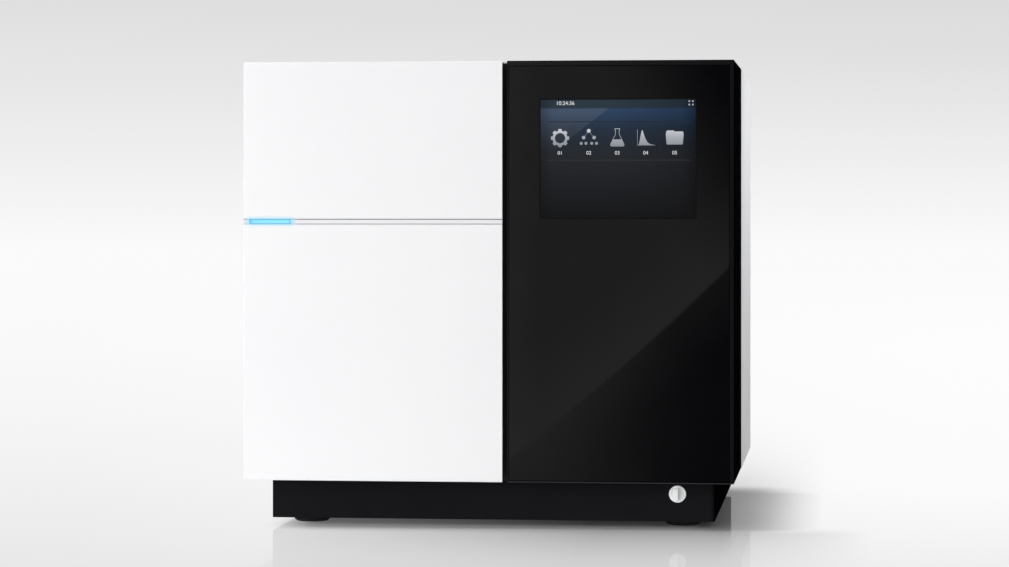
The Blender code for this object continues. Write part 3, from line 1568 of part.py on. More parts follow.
def inner_modules():
    """Detector, main board, power supply and gas control block, each fixed to floor or wall."""
    bay_width = RIGHT - HOUSING_WALL - HOUSING_LEFT - HOUSING_WALL
    width = bay_width * DETECTOR_WIDTH_SHARE
    left = (HOUSING_LEFT + RIGHT - width) / 2
    floor = BOTTOM + HOUSING_WALL + SEAM
    front = FRONT + DETECTOR_SETBACK
    lid_low = floor + DETECTOR_HEIGHT - DETECTOR_LID
    detector = piece(
        "detector_module",
        block((left, front, floor), (left + width, front + DETECTOR_DEPTH, lid_low)),
        "black_paint",
    )
    join(
        detector,
        block(
            (left - DETECTOR_LIP, front - DETECTOR_LIP, lid_low - DETECTOR_LIP),
            (
                left + width + DETECTOR_LIP,
                front + DETECTOR_DEPTH + DETECTOR_LIP,
                floor + DETECTOR_HEIGHT,
            ),
        ),
    )
    middle_place = (left + width / 2, front + DETECTOR_DEPTH / 2, floor + DETECTOR_HEIGHT)
    join(detector, rod(DETECTOR_TUBE_RADIUS, middle_place, "Z", -DETECTOR_LID / 2, DETECTOR_TUBE_LENGTH))
    board_left = PARTITION_RIGHT + BOARD_STANDOFF
    board_front = COVER_START + BOARD_FRONT_GAP
    board_depth = INNER_REAR - BOARD_REAR_GAP - board_front
    board_low = BOTTOM + BOARD_RISE
    board_right = board_left + BOARD_THICKNESS
    board = piece(
        "main_board",
        block(
            (board_left, board_front, board_low),
            (board_right, board_front + board_depth, board_low + BOARD_HEIGHT),
        ),
        "circuit_board",
    )
    margin = BOARD_STANDOFF * 2
    for y in (board_front + margin, board_front + board_depth - margin):
        for z in (board_low + margin, board_low + BOARD_HEIGHT - margin):
            reach = (SEAM, BOARD_STANDOFF + BOARD_THICKNESS / 2)
            join(board, rod(BOARD_STANDOFF / 2, (PARTITION_RIGHT, y, z), "X", *reach, FINE_STEPS))
    for depth_share, height_share, size_share in BOARD_CHIP_SHARES:
        y = board_front + board_depth * depth_share
        z = board_low + BOARD_HEIGHT * height_share
        half = board_depth * size_share
        join(
            board,
            block(
                (board_right - BOARD_THICKNESS / 2, y - half, z - half / 2),
                (board_right + BOARD_CHIP_HEIGHT, y + half, z + half / 2),
            ),
        )
    supply_left = HOUSING_LEFT + SUPPLY_LEFT_GAP
    supply_width = bay_width * SUPPLY_WIDTH_SHARE
    supply_rear = INNER_REAR - SUPPLY_REAR_GAP
    supply = piece(
        "power_supply",
        block(
            (supply_left, supply_rear - SUPPLY_DEPTH, FLOOR_TOP),
            (supply_left + supply_width, supply_rear, FLOOR_TOP + SUPPLY_HEIGHT),
        ),
        "zinc",
    )
    soften(supply, SUPPLY_EDGE, 1)
    block_middle = LEFT + FITTING_SIDE_INSET + FITTING_PITCH
    rear = REAR - MANIFOLD_REAR_INSET
    manifold = piece(
        "gas_control_block",
        block(
            (block_middle - MANIFOLD_WIDTH / 2 + MANIFOLD_DEPTH, rear - MANIFOLD_DEPTH, FLOOR_TOP),
            (block_middle + MANIFOLD_WIDTH / 2 + MANIFOLD_DEPTH, rear, FLOOR_TOP + MANIFOLD_HEIGHT),
        ),
        "steel",
    )
    for offset in row(CONTROLLERS, MANIFOLD_WIDTH / CONTROLLERS):
        x = block_middle + MANIFOLD_DEPTH + offset
        top = FLOOR_TOP + MANIFOLD_HEIGHT
        join(
            manifold,
            block(
                (x - CONTROLLER_WIDTH / 2, rear - MANIFOLD_DEPTH + CONTROLLER_SINK, top - CONTROLLER_SINK),
                (x + CONTROLLER_WIDTH / 2, rear - CONTROLLER_SINK, top + CONTROLLER_HEIGHT),
            ),
        )


def vertical(outline):
    """Swaps an outline's two coordinates, so that a slot stands upright."""
    return [(v, u) for u, v in outline][::-1]


def rear_panel():
    """Grey steel rear panel with cut-outs for the fan, inlet, ports and fittings, and a vent field."""
    low = (INNER_LEFT, BOTTOM)
    high = (INNER_RIGHT, TOP)
    front = REAR - SHEET
    panel = piece("rear_panel", block((low[0], front, low[1]), (high[0], REAR, high[1])), "grey_paint")
    reach = (front - OVERRUN, REAR + OVERRUN)
    cut(panel, rod(FAN_BORE_RADIUS, (FAN[0], 0, FAN[1]), "Y", *reach, ROUND_STEPS))
    inlet_half = (INLET_BODY_WIDTH / 2 + SEAM, INLET_BODY_HEIGHT / 2 + SEAM)
    ports_half = (PORTS_WIDTH / 2 - PORTS_MARGIN + SEAM, PORTS_HEIGHT / 2 - PORTS_MARGIN + SEAM)
    for (x, z), (half_x, half_z) in ((INLET, inlet_half), (PORTS, ports_half)):
        cut(panel, block((x - half_x, reach[0], z - half_z), (x + half_x, reach[1], z + half_z)))
    hole = FITTING_THREAD_RADIUS + FITTING_HOLE_GAP
    for x, z in fitting_places():
        cut(panel, rod(hole, (x, 0, z), "Y", *reach, SMALL_STEPS))
    vents = [
        prism(vertical(slot(BOTTOM + REAR_VENT_RISE, place, VENT_LENGTH, VENT_WIDTH)), "Y", *reach)
        for place in (LEFT + REAR_VENT_INSET + step * VENT_PITCH for step in range(REAR_VENT_SLOTS))
    ]
    cut(panel, *vents)


def fitting_places():
    """Places of the gas fittings on the rear panel, in X and Z."""
    start = LEFT + FITTING_SIDE_INSET
    return [(start + step * FITTING_PITCH, BOTTOM + FITTING_RISE) for step in range(FITTINGS)]


def gas_fittings():
    """Brass bulkhead fittings: a hexagon against the panel, a thread through it, and a nut or hose barb."""
    outside = REAR + SEAM
    tail = -FITTING_TAIL - SHEET - SEAM
    hex_top = FITTING_HEX_DEPTH
    nut_top = hex_top + FITTING_NUT_DEPTH
    tip = REAR_REACH - SEAM
    nose = [
        (FITTING_NUT_RADIUS, hex_top),
        (FITTING_NUT_RADIUS, nut_top),
        (FITTING_TIP_RADIUS, nut_top),
        (FITTING_TIP_RADIUS, tip),
    ]
    barb_step = (tip - hex_top) / BARB_COUNT
    barb = []
    for index in range(BARB_COUNT):
        base = hex_top + index * barb_step
        barb += [(BARB_RIDGE_RADIUS, base), (BARB_RADIUS, base + barb_step)]
    for name, (x, z), front_profile in zip(
        ("gas_inlet_left", "gas_inlet_right", "exhaust_outlet"),
        fitting_places(),
        (nose, nose, barb),
    ):
        place = (x, outside, z)
        hexagon = rod(FITTING_HEX_RADIUS, place, "Y", 0, hex_top, HEXAGON)
        fitting = piece(name, hexagon, "brass", smooth=True)
        overlap = hex_top / 2
        profile = [(0, overlap), (front_profile[0][0], overlap), *front_profile[1:], (0, tip)]
        join(fitting, turned(profile, place, "Y", SMALL_STEPS))
        join(fitting, rod(FITTING_THREAD_RADIUS, place, "Y", tail, overlap, SMALL_STEPS))
        cut(fitting, rod(FITTING_BORE_RADIUS, place, "Y", tail - OVERRUN, tip + OVERRUN, FINE_STEPS))


def blade(angle):
    """One fan blade: a curved plate that twists from root to tip, about the fan's axis at an angle."""
    shape = bmesh.new()
    root = ROTOR_HUB_RADIUS - BLADE_ROOT_SINK
    rings = []
    for section in range(BLADE_SECTIONS + 1):
        share = section / BLADE_SECTIONS
        radius = root + (ROTOR_RADIUS - root) * share
        pitch = BLADE_ROOT_PITCH + (BLADE_TIP_PITCH - BLADE_ROOT_PITCH) * share
        ring = []
        for along_share, side in BLADE_SECTION_SHARES:
            along = BLADE_CHORD * along_share
            thick = BLADE_THICKNESS / 2 * side
            across = along * math.sin(pitch) + thick * math.cos(pitch)
            depth = along * math.cos(pitch) - thick * math.sin(pitch)
            turn = angle + across / radius
            ring.append(shape.verts.new((radius * math.cos(turn), depth, radius * math.sin(turn))))
        rings.append(ring)
    for inner, outer in zip(rings, rings[1:]):
        for index in range(len(inner)):
            after = (index + 1) % len(inner)
            shape.faces.new((inner[index], inner[after], outer[after], outer[index]))
    shape.faces.new(rings[0])
    shape.faces.new(rings[-1][::-1])
    return shape


def fan():
    """Axial fan inside the rear panel: square frame with struts, bladed rotor, and a wire guard outside."""
    x, z = FAN
    back = INNER_REAR
    front = back - FAN_DEPTH
    half = FAN_SIZE / 2
    frame = piece(
        "fan_frame",
        prism(rounded_rectangle((x - half, z - half), (x + half, z + half), FAN_CORNER), "Y", front, back),
        "black_plastic",
    )
    cut(frame, rod(FAN_BORE_RADIUS, (x, 0, z), "Y", front - OVERRUN, back + OVERRUN, ROUND_STEPS))
    struts = rod(FAN_MOTOR_RADIUS, (x, 0, z), "Y", front, front + FAN_BASE_DEPTH)
    join(frame, struts)
    reach = FAN_BORE_RADIUS + OVERRUN
    for index in range(FAN_STRUTS):
        strut = block(
            (FAN_MOTOR_RADIUS / 2, front, -FAN_STRUT_WIDTH / 2),
            (reach, front + FAN_BASE_DEPTH / 2, FAN_STRUT_WIDTH / 2),
        )
        turn = Matrix.Rotation(QUARTER + math.tau * index / FAN_STRUTS, 4, "Y")
        bmesh.ops.transform(strut, matrix=Matrix.Translation((x, 0, z)) @ turn, verts=strut.verts)
        join(frame, strut)
    hub_back = back - ROTOR_REAR_GAP
    hub_front = front + FAN_BASE_DEPTH + ROTOR_FRONT_GAP
    axis_place = (x, (hub_front + hub_back) / 2, z)
    rotor = piece(
        "fan_rotor",
        rod(ROTOR_HUB_RADIUS, (x, 0, z), "Y", hub_front, hub_back, ROUND_STEPS),
        "black_plastic",
        origin=axis_place,
        smooth=True,
    )
    blades = []
    for index in range(ROTOR_BLADES):
        item = blade(math.tau * index / ROTOR_BLADES)
        bmesh.ops.translate(item, verts=item.verts, vec=axis_place)
        blades.append(item)
    join(rotor, *blades)
    wire_middle = REAR + SEAM + GUARD_WIRE
    radius = FAN_SIZE / 2 - GUARD_EDGE_MARGIN
    ring_profile = [
        (GUARD_WIRE * math.cos(angle), GUARD_WIRE * math.sin(angle))
        for angle in (math.tau * step / WIRE_STEPS for step in range(WIRE_STEPS))
    ]
    rings = []
    for share in GUARD_RING_SHARES:
        placed = [(radius * share + u, v) for u, v in ring_profile]
        rings.append(turned(placed, (x, wire_middle, z), "Y", ROUND_STEPS, closed=True))
    arm = half - GUARD_EYE_RADIUS / 2
    place = (x, wire_middle, z)
    guard = piece("fan_guard", guard_bar(place, arm, GUARD_BAR_TURNS_SHARE), "chrome")
    join(guard, guard_bar(place, arm, -GUARD_BAR_TURNS_SHARE))
    for ring in rings:
        join(guard, ring)


def guard_bar(place, reach, turn_share):
    """A flat bar across the fan guard, turned by a share of a whole turn."""
    half = GUARD_WIRE * GUARD_BAR_SHARE
    bar = block((-reach, -half, -GUARD_WIRE), (reach, half, GUARD_WIRE))
    turn = Matrix.Rotation(math.tau * turn_share, 4, "Y")
    bmesh.ops.transform(bar, matrix=Matrix.Translation(place) @ turn, verts=bar.verts)
    return bar


def mains_inlet():
    """Mains inlet with its pin socket, fuse drawer and rocker switch, fitted from outside the panel."""
    x, z = INLET
    outside = REAR + SEAM
    face = outside + INLET_FLANGE
    body_front = outside - SHEET - INLET_BODY_DEPTH
    half = (INLET_WIDTH / 2, INLET_HEIGHT / 2)
    flange = rounded_rectangle((x - half[0], z - half[1]), (x + half[0], z + half[1]), INLET_CORNER)
    inlet = piece("mains_inlet", prism(flange, "Y", outside, face), "black_plastic")
    body = (INLET_BODY_WIDTH / 2, INLET_BODY_HEIGHT / 2)
    join(
        inlet,
        block((x - body[0], body_front, z - body[1]), (x + body[0], outside + INLET_FLANGE / 2, z + body[1])),
    )
    socket_middle = z - SOCKET_DROP
    w, h, c = SOCKET_WIDTH / 2, SOCKET_HEIGHT / 2, SOCKET_CHAMFER
    outline = [
        (x - w, socket_middle - h),
        (x + w, socket_middle - h),
        (x + w, socket_middle + h - c),
        (x + w - c, socket_middle + h),
        (x - w + c, socket_middle + h),
        (x - w, socket_middle + h - c),
    ]
    socket_floor = face - SOCKET_CAVITY_DEPTH
    cut(inlet, prism(outline, "Y", socket_floor, face + OVERRUN))
    for across, lift in (
        (-BLADE_PIN_SPACING, BLADE_PIN_LIFT),
        (0, EARTH_PIN_LIFT),
        (BLADE_PIN_SPACING, BLADE_PIN_LIFT),
    ):
        pin_z = socket_middle + lift
        join(
            inlet,
            block(
                (x + across - BLADE_PIN_WIDTH / 2, socket_floor - OVERRUN, pin_z - BLADE_PIN_HEIGHT / 2),
                (
                    x + across + BLADE_PIN_WIDTH / 2,
                    socket_floor + BLADE_PIN_LENGTH,
                    pin_z + BLADE_PIN_HEIGHT / 2,
                ),
            ),
        )
    drawer_middle = z - DRAWER_DROP
    dw, dh = DRAWER_WIDTH / 2, DRAWER_HEIGHT / 2
    cut(
        inlet,
        block(
            (x - dw - SEAM, face - DRAWER_DEPTH - SEAM, drawer_middle - dh - SEAM),
            (x + dw + SEAM, face + OVERRUN, drawer_middle + dh + SEAM),
        ),
    )
    face_back = face + SEAM
    drawer_place = (x, face, drawer_middle)
    drawer = piece(
        "fuse_drawer",
        block((x - dw, face - DRAWER_DEPTH, drawer_middle - dh), (x + dw, face_back, drawer_middle + dh)),
        "black_plastic",
        origin=drawer_place,
    )
    join(
        drawer,
        block(
            (x - dw - DRAWER_FACE_MARGIN, face_back, drawer_middle - dh),
            (x + dw + DRAWER_FACE_MARGIN, face_back + DRAWER_FACE, drawer_middle + dh),
        ),
    )
    cut(
        drawer,
        block(
            (x - dw + OVERRUN, face - DRAWER_DEPTH + OVERRUN, drawer_middle - dh + SHEET),
            (x + dw - OVERRUN, face - OVERRUN, drawer_middle + dh + OVERRUN),
        ),
    )
    notch = DRAWER_NOTCH_WIDTH / 2
    cut(
        drawer,
        block(
            (x - notch, face_back + DRAWER_FACE / 2, drawer_middle + dh - DRAWER_NOTCH_HEIGHT),
            (x + notch, face_back + DRAWER_FACE + OVERRUN, drawer_middle + dh + OVERRUN),
        ),
    )
    rocker_z = z + ROCKER_LIFT
    axis_y = face - ROCKER_SINK
    side = ROCKER_WIDTH / 2
    room = side + ROCKER_SIDE_GAP
    cut(
        inlet,
        block(
            (x - room, axis_y - ROCKER_BACK_RADIUS - OVERRUN, rocker_z - ROCKER_MOUTH),
            (x + room, face + OVERRUN, rocker_z + ROCKER_MOUTH),
        ),
    )
    piece(
        "rocker_switch",
        prism(rocker_outline(axis_y, rocker_z), "X", x - side, x + side),
        "black_plastic",
        origin=(x, axis_y, rocker_z),
    )


def rocker_outline(axis_y, axis_z):
    """Side view of the rocker about its axis: round back, two raised corners and a dished face."""
    points = []
    for step in range(2 * ROCKER_STEPS + 1):
        angle = math.pi / 2 + math.pi * step / (2 * ROCKER_STEPS)
        points.append((ROCKER_BACK_RADIUS, angle))
    corners = [
        (ROCKER_RADIUS, -ROCKER_SPREAD),
        (ROCKER_CROWN, 0),
        (ROCKER_RADIUS, ROCKER_SPREAD),
    ]
    outline = []
    for radius, angle in points + corners:
        turned_angle = angle + ROCKER_TILT
        outline.append((axis_y + radius * math.cos(turned_angle), axis_z + radius * math.sin(turned_angle)))
    return outline


def data_ports():
    """Port block with one network and two serial sockets, flanged against the outside of the panel."""
    x, z = PORTS
    outside = REAR + SEAM
    face = outside + PORTS_FLANGE
    half = (PORTS_WIDTH / 2, PORTS_HEIGHT / 2)
    ports = piece(
        "data_ports",
        block((x - half[0], outside, z - half[1]), (x + half[0], face, z + half[1])),
        "zinc",
    )
    inner = (half[0] - PORTS_MARGIN, half[1] - PORTS_MARGIN)
    join(
        ports,
        block(
            (x - inner[0], outside - SHEET - PORTS_DEPTH, z - inner[1]),
            (x + inner[0], outside + PORTS_FLANGE / 2, z + inner[1]),
        ),
    )
    sizes = ((NETWORK_WIDTH, NETWORK_HEIGHT), (SERIAL_WIDTH, SERIAL_HEIGHT), (SERIAL_WIDTH, SERIAL_HEIGHT))
    for share, (width, height) in zip(PORTS_SHARES, sizes):
        middle_x = x + PORTS_WIDTH * share
        cut(
            ports,
            block(
                (middle_x - width / 2, face - PORTS_CAVITY, z - height / 2),
                (middle_x + width / 2, face + OVERRUN, z + height / 2),
            ),
        )


def clear_scene():
    """Takes away whatever the file opened with."""
    for thing in list(bpy.data.objects):
        bpy.data.objects.remove(thing, do_unlink=True)


clear_scene()
make_materials()
plinth()
feet()
push_button()
chassis_floor()
compartment_walls()
compartment_frame()
hinge_brackets()
door()
front_housing()
side_covers()
top_cover()
injection_port()
injection_head()
furnace()
combustion_tube()
tube_clamp()
dryer()
inner_modules()
rear_panel()
gas_fittings()
fan()
mains_inlet()
data_ports()
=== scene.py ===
import math

import bmesh
import bpy
import numpy as np
from mathutils import Matrix, Vector


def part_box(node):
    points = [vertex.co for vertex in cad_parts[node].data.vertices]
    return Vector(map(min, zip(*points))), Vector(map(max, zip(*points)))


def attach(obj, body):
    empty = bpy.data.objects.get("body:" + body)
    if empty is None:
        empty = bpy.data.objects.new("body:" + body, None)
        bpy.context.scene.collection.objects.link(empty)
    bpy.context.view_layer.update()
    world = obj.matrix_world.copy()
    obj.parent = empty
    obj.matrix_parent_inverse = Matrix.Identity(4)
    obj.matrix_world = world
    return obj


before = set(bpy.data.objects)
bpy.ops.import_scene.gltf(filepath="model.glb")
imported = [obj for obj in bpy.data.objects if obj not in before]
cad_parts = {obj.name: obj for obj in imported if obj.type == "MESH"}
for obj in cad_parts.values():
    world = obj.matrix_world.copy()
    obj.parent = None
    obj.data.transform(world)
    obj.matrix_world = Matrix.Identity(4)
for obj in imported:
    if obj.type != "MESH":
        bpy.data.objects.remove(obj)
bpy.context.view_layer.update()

# Camera
# A level camera about three metres in front, a little right of the middle and turned six degrees left. The
# picture is shifted down instead of tilting the camera, so upright edges stay upright.
camera_data = bpy.data.cameras.new("camera")
camera = bpy.data.objects.new("camera", camera_data)
bpy.context.scene.collection.objects.link(camera)
camera.location = (0.3758, -3.5058, 0.329)
camera.rotation_euler = (math.radians(90), 0, math.radians(6.3))
camera_data.lens = 112.6
camera_data.sensor_width = 36.0
camera_data.shift_y = -0.0709
bpy.context.scene.camera = camera
bpy.context.scene.view_settings.view_transform = "Standard"


# Studio floor
# One wide round sheet of white laminate. Close to the instrument it takes real light, shadow and a faint
# mirror image, and a painted shadow along the plinth's right side and in front of it; farther off it turns to
# the even pale tone of the picture's background, which the room's wall carries on.
def linear(code):
    """The linear colour of an sRGB hex code: each channel over 12.92 when dark, else its 2.4th power law."""
    parts = [int(code[i : i + 2], 16) / 255 for i in (0, 2, 4)]
    return [p / 12.92 if p <= 0.04045 else ((p + 0.055) / 1.055) ** 2.4 for p in parts] + [1.0]


def adder(tree):
    """The one function that adds a node to that tree."""

    def add(kind, inputs=(), mode=None, stops=None, **settings):
        """inputs are the values of its sockets, in their order or by name: a plain value, a colour's hex
        code, a socket, or a node, which gives its first output in use. mode is its operation, data type or
        interpolation, stops has a ramp's places and colours, and settings its other properties."""
        node = tree.nodes.new("ShaderNode" + kind)
        if mode:
            settings[{"Mix": "data_type", "MapRange": "interpolation_type"}.get(kind, "operation")] = mode
        for name, value in settings.items():
            setattr(node, name, value)
        if stops:
            ramp = node.color_ramp
            while len(ramp.elements) < len(stops):
                ramp.elements.new(0.5)
            for element, (position, code) in zip(ramp.elements, stops):
                element.position = position
            for element, (position, code) in zip(ramp.elements, stops):
                element.color = linear(code)
        if not isinstance(inputs, dict):
            in_use = [count for count, socket in enumerate(node.inputs) if socket.enabled]
            inputs = dict(zip(in_use, inputs))
        for socket, value in inputs.items():
            if isinstance(value, bpy.types.Node):
                value = next(output for output in value.outputs if output.enabled)
            if isinstance(value, bpy.types.NodeSocket):
                tree.links.new(value, node.inputs[socket])
            else:
                node.inputs[socket].default_value = linear(value) if isinstance(value, str) else value
        return node

    return add


def start_material(name):
    """An empty material of that name, the function that adds its nodes, and the point being shaded."""
    material = bpy.data.materials.new(name)
    material.use_nodes = True
    material.node_tree.nodes.clear()
    add = adder(material.node_tree)
    return material, add, add("TexCoord").outputs["Object"]


def solid(name, grids, material, body=None):
    """One closed piece from grids of points, n rows of m points each. Every row is a loop, and quads join
    each row to the next. A ring joins its last row to its first; otherwise a face closes both end rows. Rows
    that are one point become a pole."""
    points, faces, start = [], [], 0
    for grid, ring in grids:
        rows, columns = grid.shape[:2]
        index = start + np.arange(rows * columns).reshape(rows, columns)
        chain = np.vstack([index, index[:1]]) if ring else index
        beside = np.roll(chain, -1, axis=1)
        quads = np.stack([chain[:-1], beside[:-1], beside[1:], chain[1:]], axis=-1)
        faces += quads.reshape(-1, 4).tolist()
        if not ring:
            faces += [index[0][::-1].tolist(), index[-1].tolist()]
        points.append(grid.reshape(-1, 3))
        start += rows * columns
    mesh = bpy.data.meshes.new(name)
    mesh.from_pydata(np.vstack(points).tolist(), [], faces)
    return finished(name, mesh, material, body)


def finished(name, mesh, material, body):
    """Welds a mesh's doubles, points its faces outwards and makes it a piece that rides on a body."""
    shape = bmesh.new()
    shape.from_mesh(mesh)
    bmesh.ops.remove_doubles(shape, verts=shape.verts, dist=1e-7)
    bmesh.ops.recalc_face_normals(shape, faces=shape.faces)
    shape.to_mesh(mesh)
    shape.free()
    mesh.polygons.foreach_set("use_smooth", [True] * len(mesh.polygons))
    mesh.set_sharp_from_angle(angle=math.radians(35))
    mesh.materials.append(material)
    piece = bpy.data.objects.new(name, mesh)
    bpy.context.scene.collection.objects.link(piece)
    if body:
        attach(piece, body)
    return piece


# The sheet is a disc whose rim lies near the horizon: equal angles round a circle.
floor_radius = 24.0
rim_angle = np.arange(96) * math.tau / 96
rim = np.stack([np.cos(rim_angle), np.sin(rim_angle), 0 * rim_angle], axis=-1) * floor_radius
floor_mesh = bpy.data.meshes.new("studio_floor")
floor_mesh.from_pydata(rim.tolist(), [], [list(range(len(rim)))])
studio_floor = bpy.data.objects.new("studio_floor", floor_mesh)
bpy.context.scene.collection.objects.link(studio_floor)

# White laminate: dull white with a weak, slightly blurred gloss, which gives the plinth its mirror image. It
# lightens from front to back and towards the right. Close to the plinth it takes real light, farther off the
# plain tone of the picture. A painted shadow darkens it along the plinth's right side and, weaker, in front
# of its right half. Mirror images look through its front part into the dim room.
laminate, add, place = start_material("white_laminate")
x, y, _ = add("SeparateXYZ", [place]).outputs
back = add("MapRange", [y, -6.0, 14.0])
left_tones = add("ValToRGB", [back], stops=[
    (0.0, "FAFAFB"), (0.15, "EFEFF0"), (0.25, "E3E3E4"), (0.2735, "E8E8E9"), (0.29, "ECECED"),
    (0.314, "F0F0F1"), (0.3735, "F6F6F7"), (0.5, "F9F9FA"), (1.0, "FAFAFB"),
])
right_tones = add("ValToRGB", [back], stops=[
    (0.0, "FAFAFB"), (0.15, "EFEFF0"), (0.25, "EAEAEB"), (0.2735, "EFEFF0"), (0.29, "F6F6F7"),
    (0.314, "FCFCFC"), (0.5, "FDFDFD"), (0.9, "FBFBFC"), (1.0, "FAFAFB"),
])
from_camera = add("Math", [x, camera.location[0]], "SUBTRACT")
camera_depth = add("Math", [y, camera.location[1]], "SUBTRACT")
camera_depth = add("Math", [camera_depth, 0.5], "MAXIMUM")
bearing = add("Math", [from_camera, camera_depth], "DIVIDE")
rightward = add("MapRange", [bearing, -0.25, 0.03])
tones = add("Mix", [rightward, left_tones, right_tones], "RGBA")

# Painted shadow: along the right side it fades out over 100 mm, in front exponentially, growing rightwards.
low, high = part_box("plinth_skirt")
right_gap = add("Math", [x, high[0] + 0.01], "SUBTRACT")
front_gap = add("Math", [low[1], y], "SUBTRACT")
beside = add("MapRange", [right_gap, 0.0, 0.1, 0.8, 0.0])
for value, edge, inner in ((right_gap, -0.05, -0.01), (front_gap, 0.06, 0.0)):
    gate = add("MapRange", [value, edge, inner])
    beside = add("Math", [beside, gate], "MULTIPLY")
gate = add("MapRange", [y, high[1] + 0.04, high[1] - 0.04])
rear_gap = add("Math", [y, high[1]], "SUBTRACT")
rear_gap = add("Math", [rear_gap, 0.0], "MAXIMUM")
tail = add("Math", [rear_gap, -1 / 0.32], "MULTIPLY")
tail = add("Math", [tail], "EXPONENT")
tail = add("Math", [tail, 0.5], "MULTIPLY")
gate = add("Math", [gate, tail], "MAXIMUM")
beside = add("Math", [beside, gate], "MULTIPLY")
fall_off = add("Math", [front_gap, -1 / 0.25], "MULTIPLY")
fall_off = add("Math", [fall_off], "EXPONENT")
before = add("Math", [fall_off, 0.62], "MULTIPLY")
for value, edge, inner in ((x, -0.2, 0.12), (right_gap, 0.15, 0.0), (front_gap, -0.02, 0.05)):
    gate = add("MapRange", [value, edge, inner])
    before = add("Math", [before, gate], "MULTIPLY")
shade = add("Math", [beside, before], "MAXIMUM")
# The floor's diffuse colour takes three tenths of that painted shadow, and a painted shade that grows from
# nothing 80 mm right of the plinth to 60 % from 160 mm on, and dims the light thrown onto the side cover.
side_shade = add("Math", [beside, 0.3], "MULTIPLY")
painted_right_shade = add("MapRange", [right_gap, 0.08, 0.16, 0.0, 0.6])
side_shade = add("Math", [side_shade, painted_right_shade], "MAXIMUM")
painted_shade_white = add("Mix", [side_shade, tones, "000000"], "RGBA")
painted_shadow_tone = add("Mix", [shade, tones, "000000"], "RGBA")

# Real light counts under the plinth, from 60 mm inside its left side to its right side, and gives way over 80
# mm. A faint painted glow, stronger to the left, stands for light coming in under the plinth from the left.
lit_left = low[0] + 0.062
lit_right = high[0] + 0.01
outline_middle = ((lit_left + lit_right) / 2, (low[1] + high[1]) / 2, 0.0)
outline_half = ((lit_right - lit_left) / 2, (high[1] - low[1]) / 2, 0.0)
centred = add("VectorMath", [place, outline_middle], "SUBTRACT")
folded = add("VectorMath", [centred], "ABSOLUTE")
outside = add("VectorMath", [folded, outline_half], "SUBTRACT")
outside = add("VectorMath", [outside, (0.0, 0.0, 0.0)], "MAXIMUM")
distance = add("VectorMath", [outside], "LENGTH")
far = add("MapRange", [distance, 0.0, 0.08], "SMOOTHSTEP")
painted_under_glow = add("MapRange", [x, -0.2, 0.1, 0.16, 0.03])
far = add("Math", [far, painted_under_glow], "MAXIMUM")
path = add("LightPath")
seen = add("Math", [path.outputs["Is Camera Ray"], path.outputs["Is Glossy Ray"]], "MAXIMUM")
seen = add("Math", [seen, path.outputs["Is Transmission Ray"]], "MAXIMUM")
painted = add("Math", [far, seen], "MULTIPLY")
dull = add("BsdfDiffuse", {"Color": painted_shade_white})
glow = add("Emission", {"Color": painted_shadow_tone})
under = add("MixShader", [painted, dull, glow])
gloss = add("BsdfGlossy", {"Color": "FFFFFF", "Roughness": 0.05})
near_gloss = add("MapRange", [distance, 0.0, 0.3, 0.2, 0.11])
far_gloss = add("MapRange", [distance, 0.5, 2.2, 1.0, 0.0], "SMOOTHSTEP")
shiny = add("Math", [near_gloss, far_gloss], "MULTIPLY")
both = add("MixShader", [shiny, under, gloss])
room_side = add("MapRange", [y, -0.75, -0.76])
open_floor = add("Math", [room_side, path.outputs["Is Glossy Ray"]], "MULTIPLY")
clear = add("BsdfTransparent")
both = add("MixShader", [open_floor, both, clear])
add("OutputMaterial", [both])
floor_mesh.materials.append(laminate)


# Room light
# Pale walls all round, a large soft lamp high in front, a panel overhead, and two small panels low on the
# left and high on the right. What polished surfaces mirror is darker than the walls: towards the front a dim
# room with one slanting shade edge, a bright wall on the left and behind, and a bright ceiling.
for name, spot, aim, size, energy in (
    ("front_lamp", (-0.6, -3.2, 2.4), (0, -0.1, 0.22), 1.6, 9),
    ("overhead_panel", (-1.4, -0.3, 2.6), (0, -0.1, 0.1), 1.8, 17),
    ("left_panel", (-1.05, -1.35, 0.2), (-0.1, -0.27, 0.3), 0.7, 5.6),
    ("right_panel", (1.0, 0.4, 0.62), (0.255, 0.1, 0.47), 0.3, 0.38),
):
    lamp = bpy.data.lights.new(name, "AREA")
    lamp.shape = "DISK"
    lamp.size = size
    lamp.energy = energy
    holder = bpy.data.objects.new(name, lamp)
    bpy.context.scene.collection.objects.link(holder)
    holder.location = spot
    if name == "right_panel":
        lamp.spread = np.radians(50.0)
    holder.visible_camera = False
    holder.visible_glossy = name == "front_lamp"
    holder.rotation_euler = (Vector(aim) - holder.location).to_track_quat("-Z", "Y").to_euler()

world = bpy.data.worlds.new("room")
bpy.context.scene.world = world
world.use_nodes = True
world.node_tree.nodes.clear()
add = adder(world.node_tree)
way = add("TexCoord").outputs["Generated"]
x, y, z = add("SeparateXYZ", [way]).outputs
ahead = add("Math", [y, -1.0], "MULTIPLY")
depth = add("Math", [ahead, 0.05], "MAXIMUM")
aside = add("Math", [x, depth], "DIVIDE")
rise = add("Math", [z, depth], "DIVIDE")
slant = add("Math", [aside, 0.896, 0.0161], "MULTIPLY_ADD")
sag = add("Math", [aside, 0.0672], "ADD")
sag = add("Math", [sag, sag], "MULTIPLY")
slant = add("Math", [sag, 1.63, slant], "MULTIPLY_ADD")
over = add("Math", [rise, slant], "SUBTRACT")
shade = add("MapRange", [over, -0.0004, 0.0004])
low_tone = add("MapRange", [aside, -0.105, -0.045, 0.22, 0.012], "SMOOTHSTEP")
corner = add("Math", [rise, 0.5, aside], "MULTIPLY_ADD")
high_tone = add("MapRange", [corner, -0.062, -0.018, 0.25, 0.0], "SMOOTHSTEP")
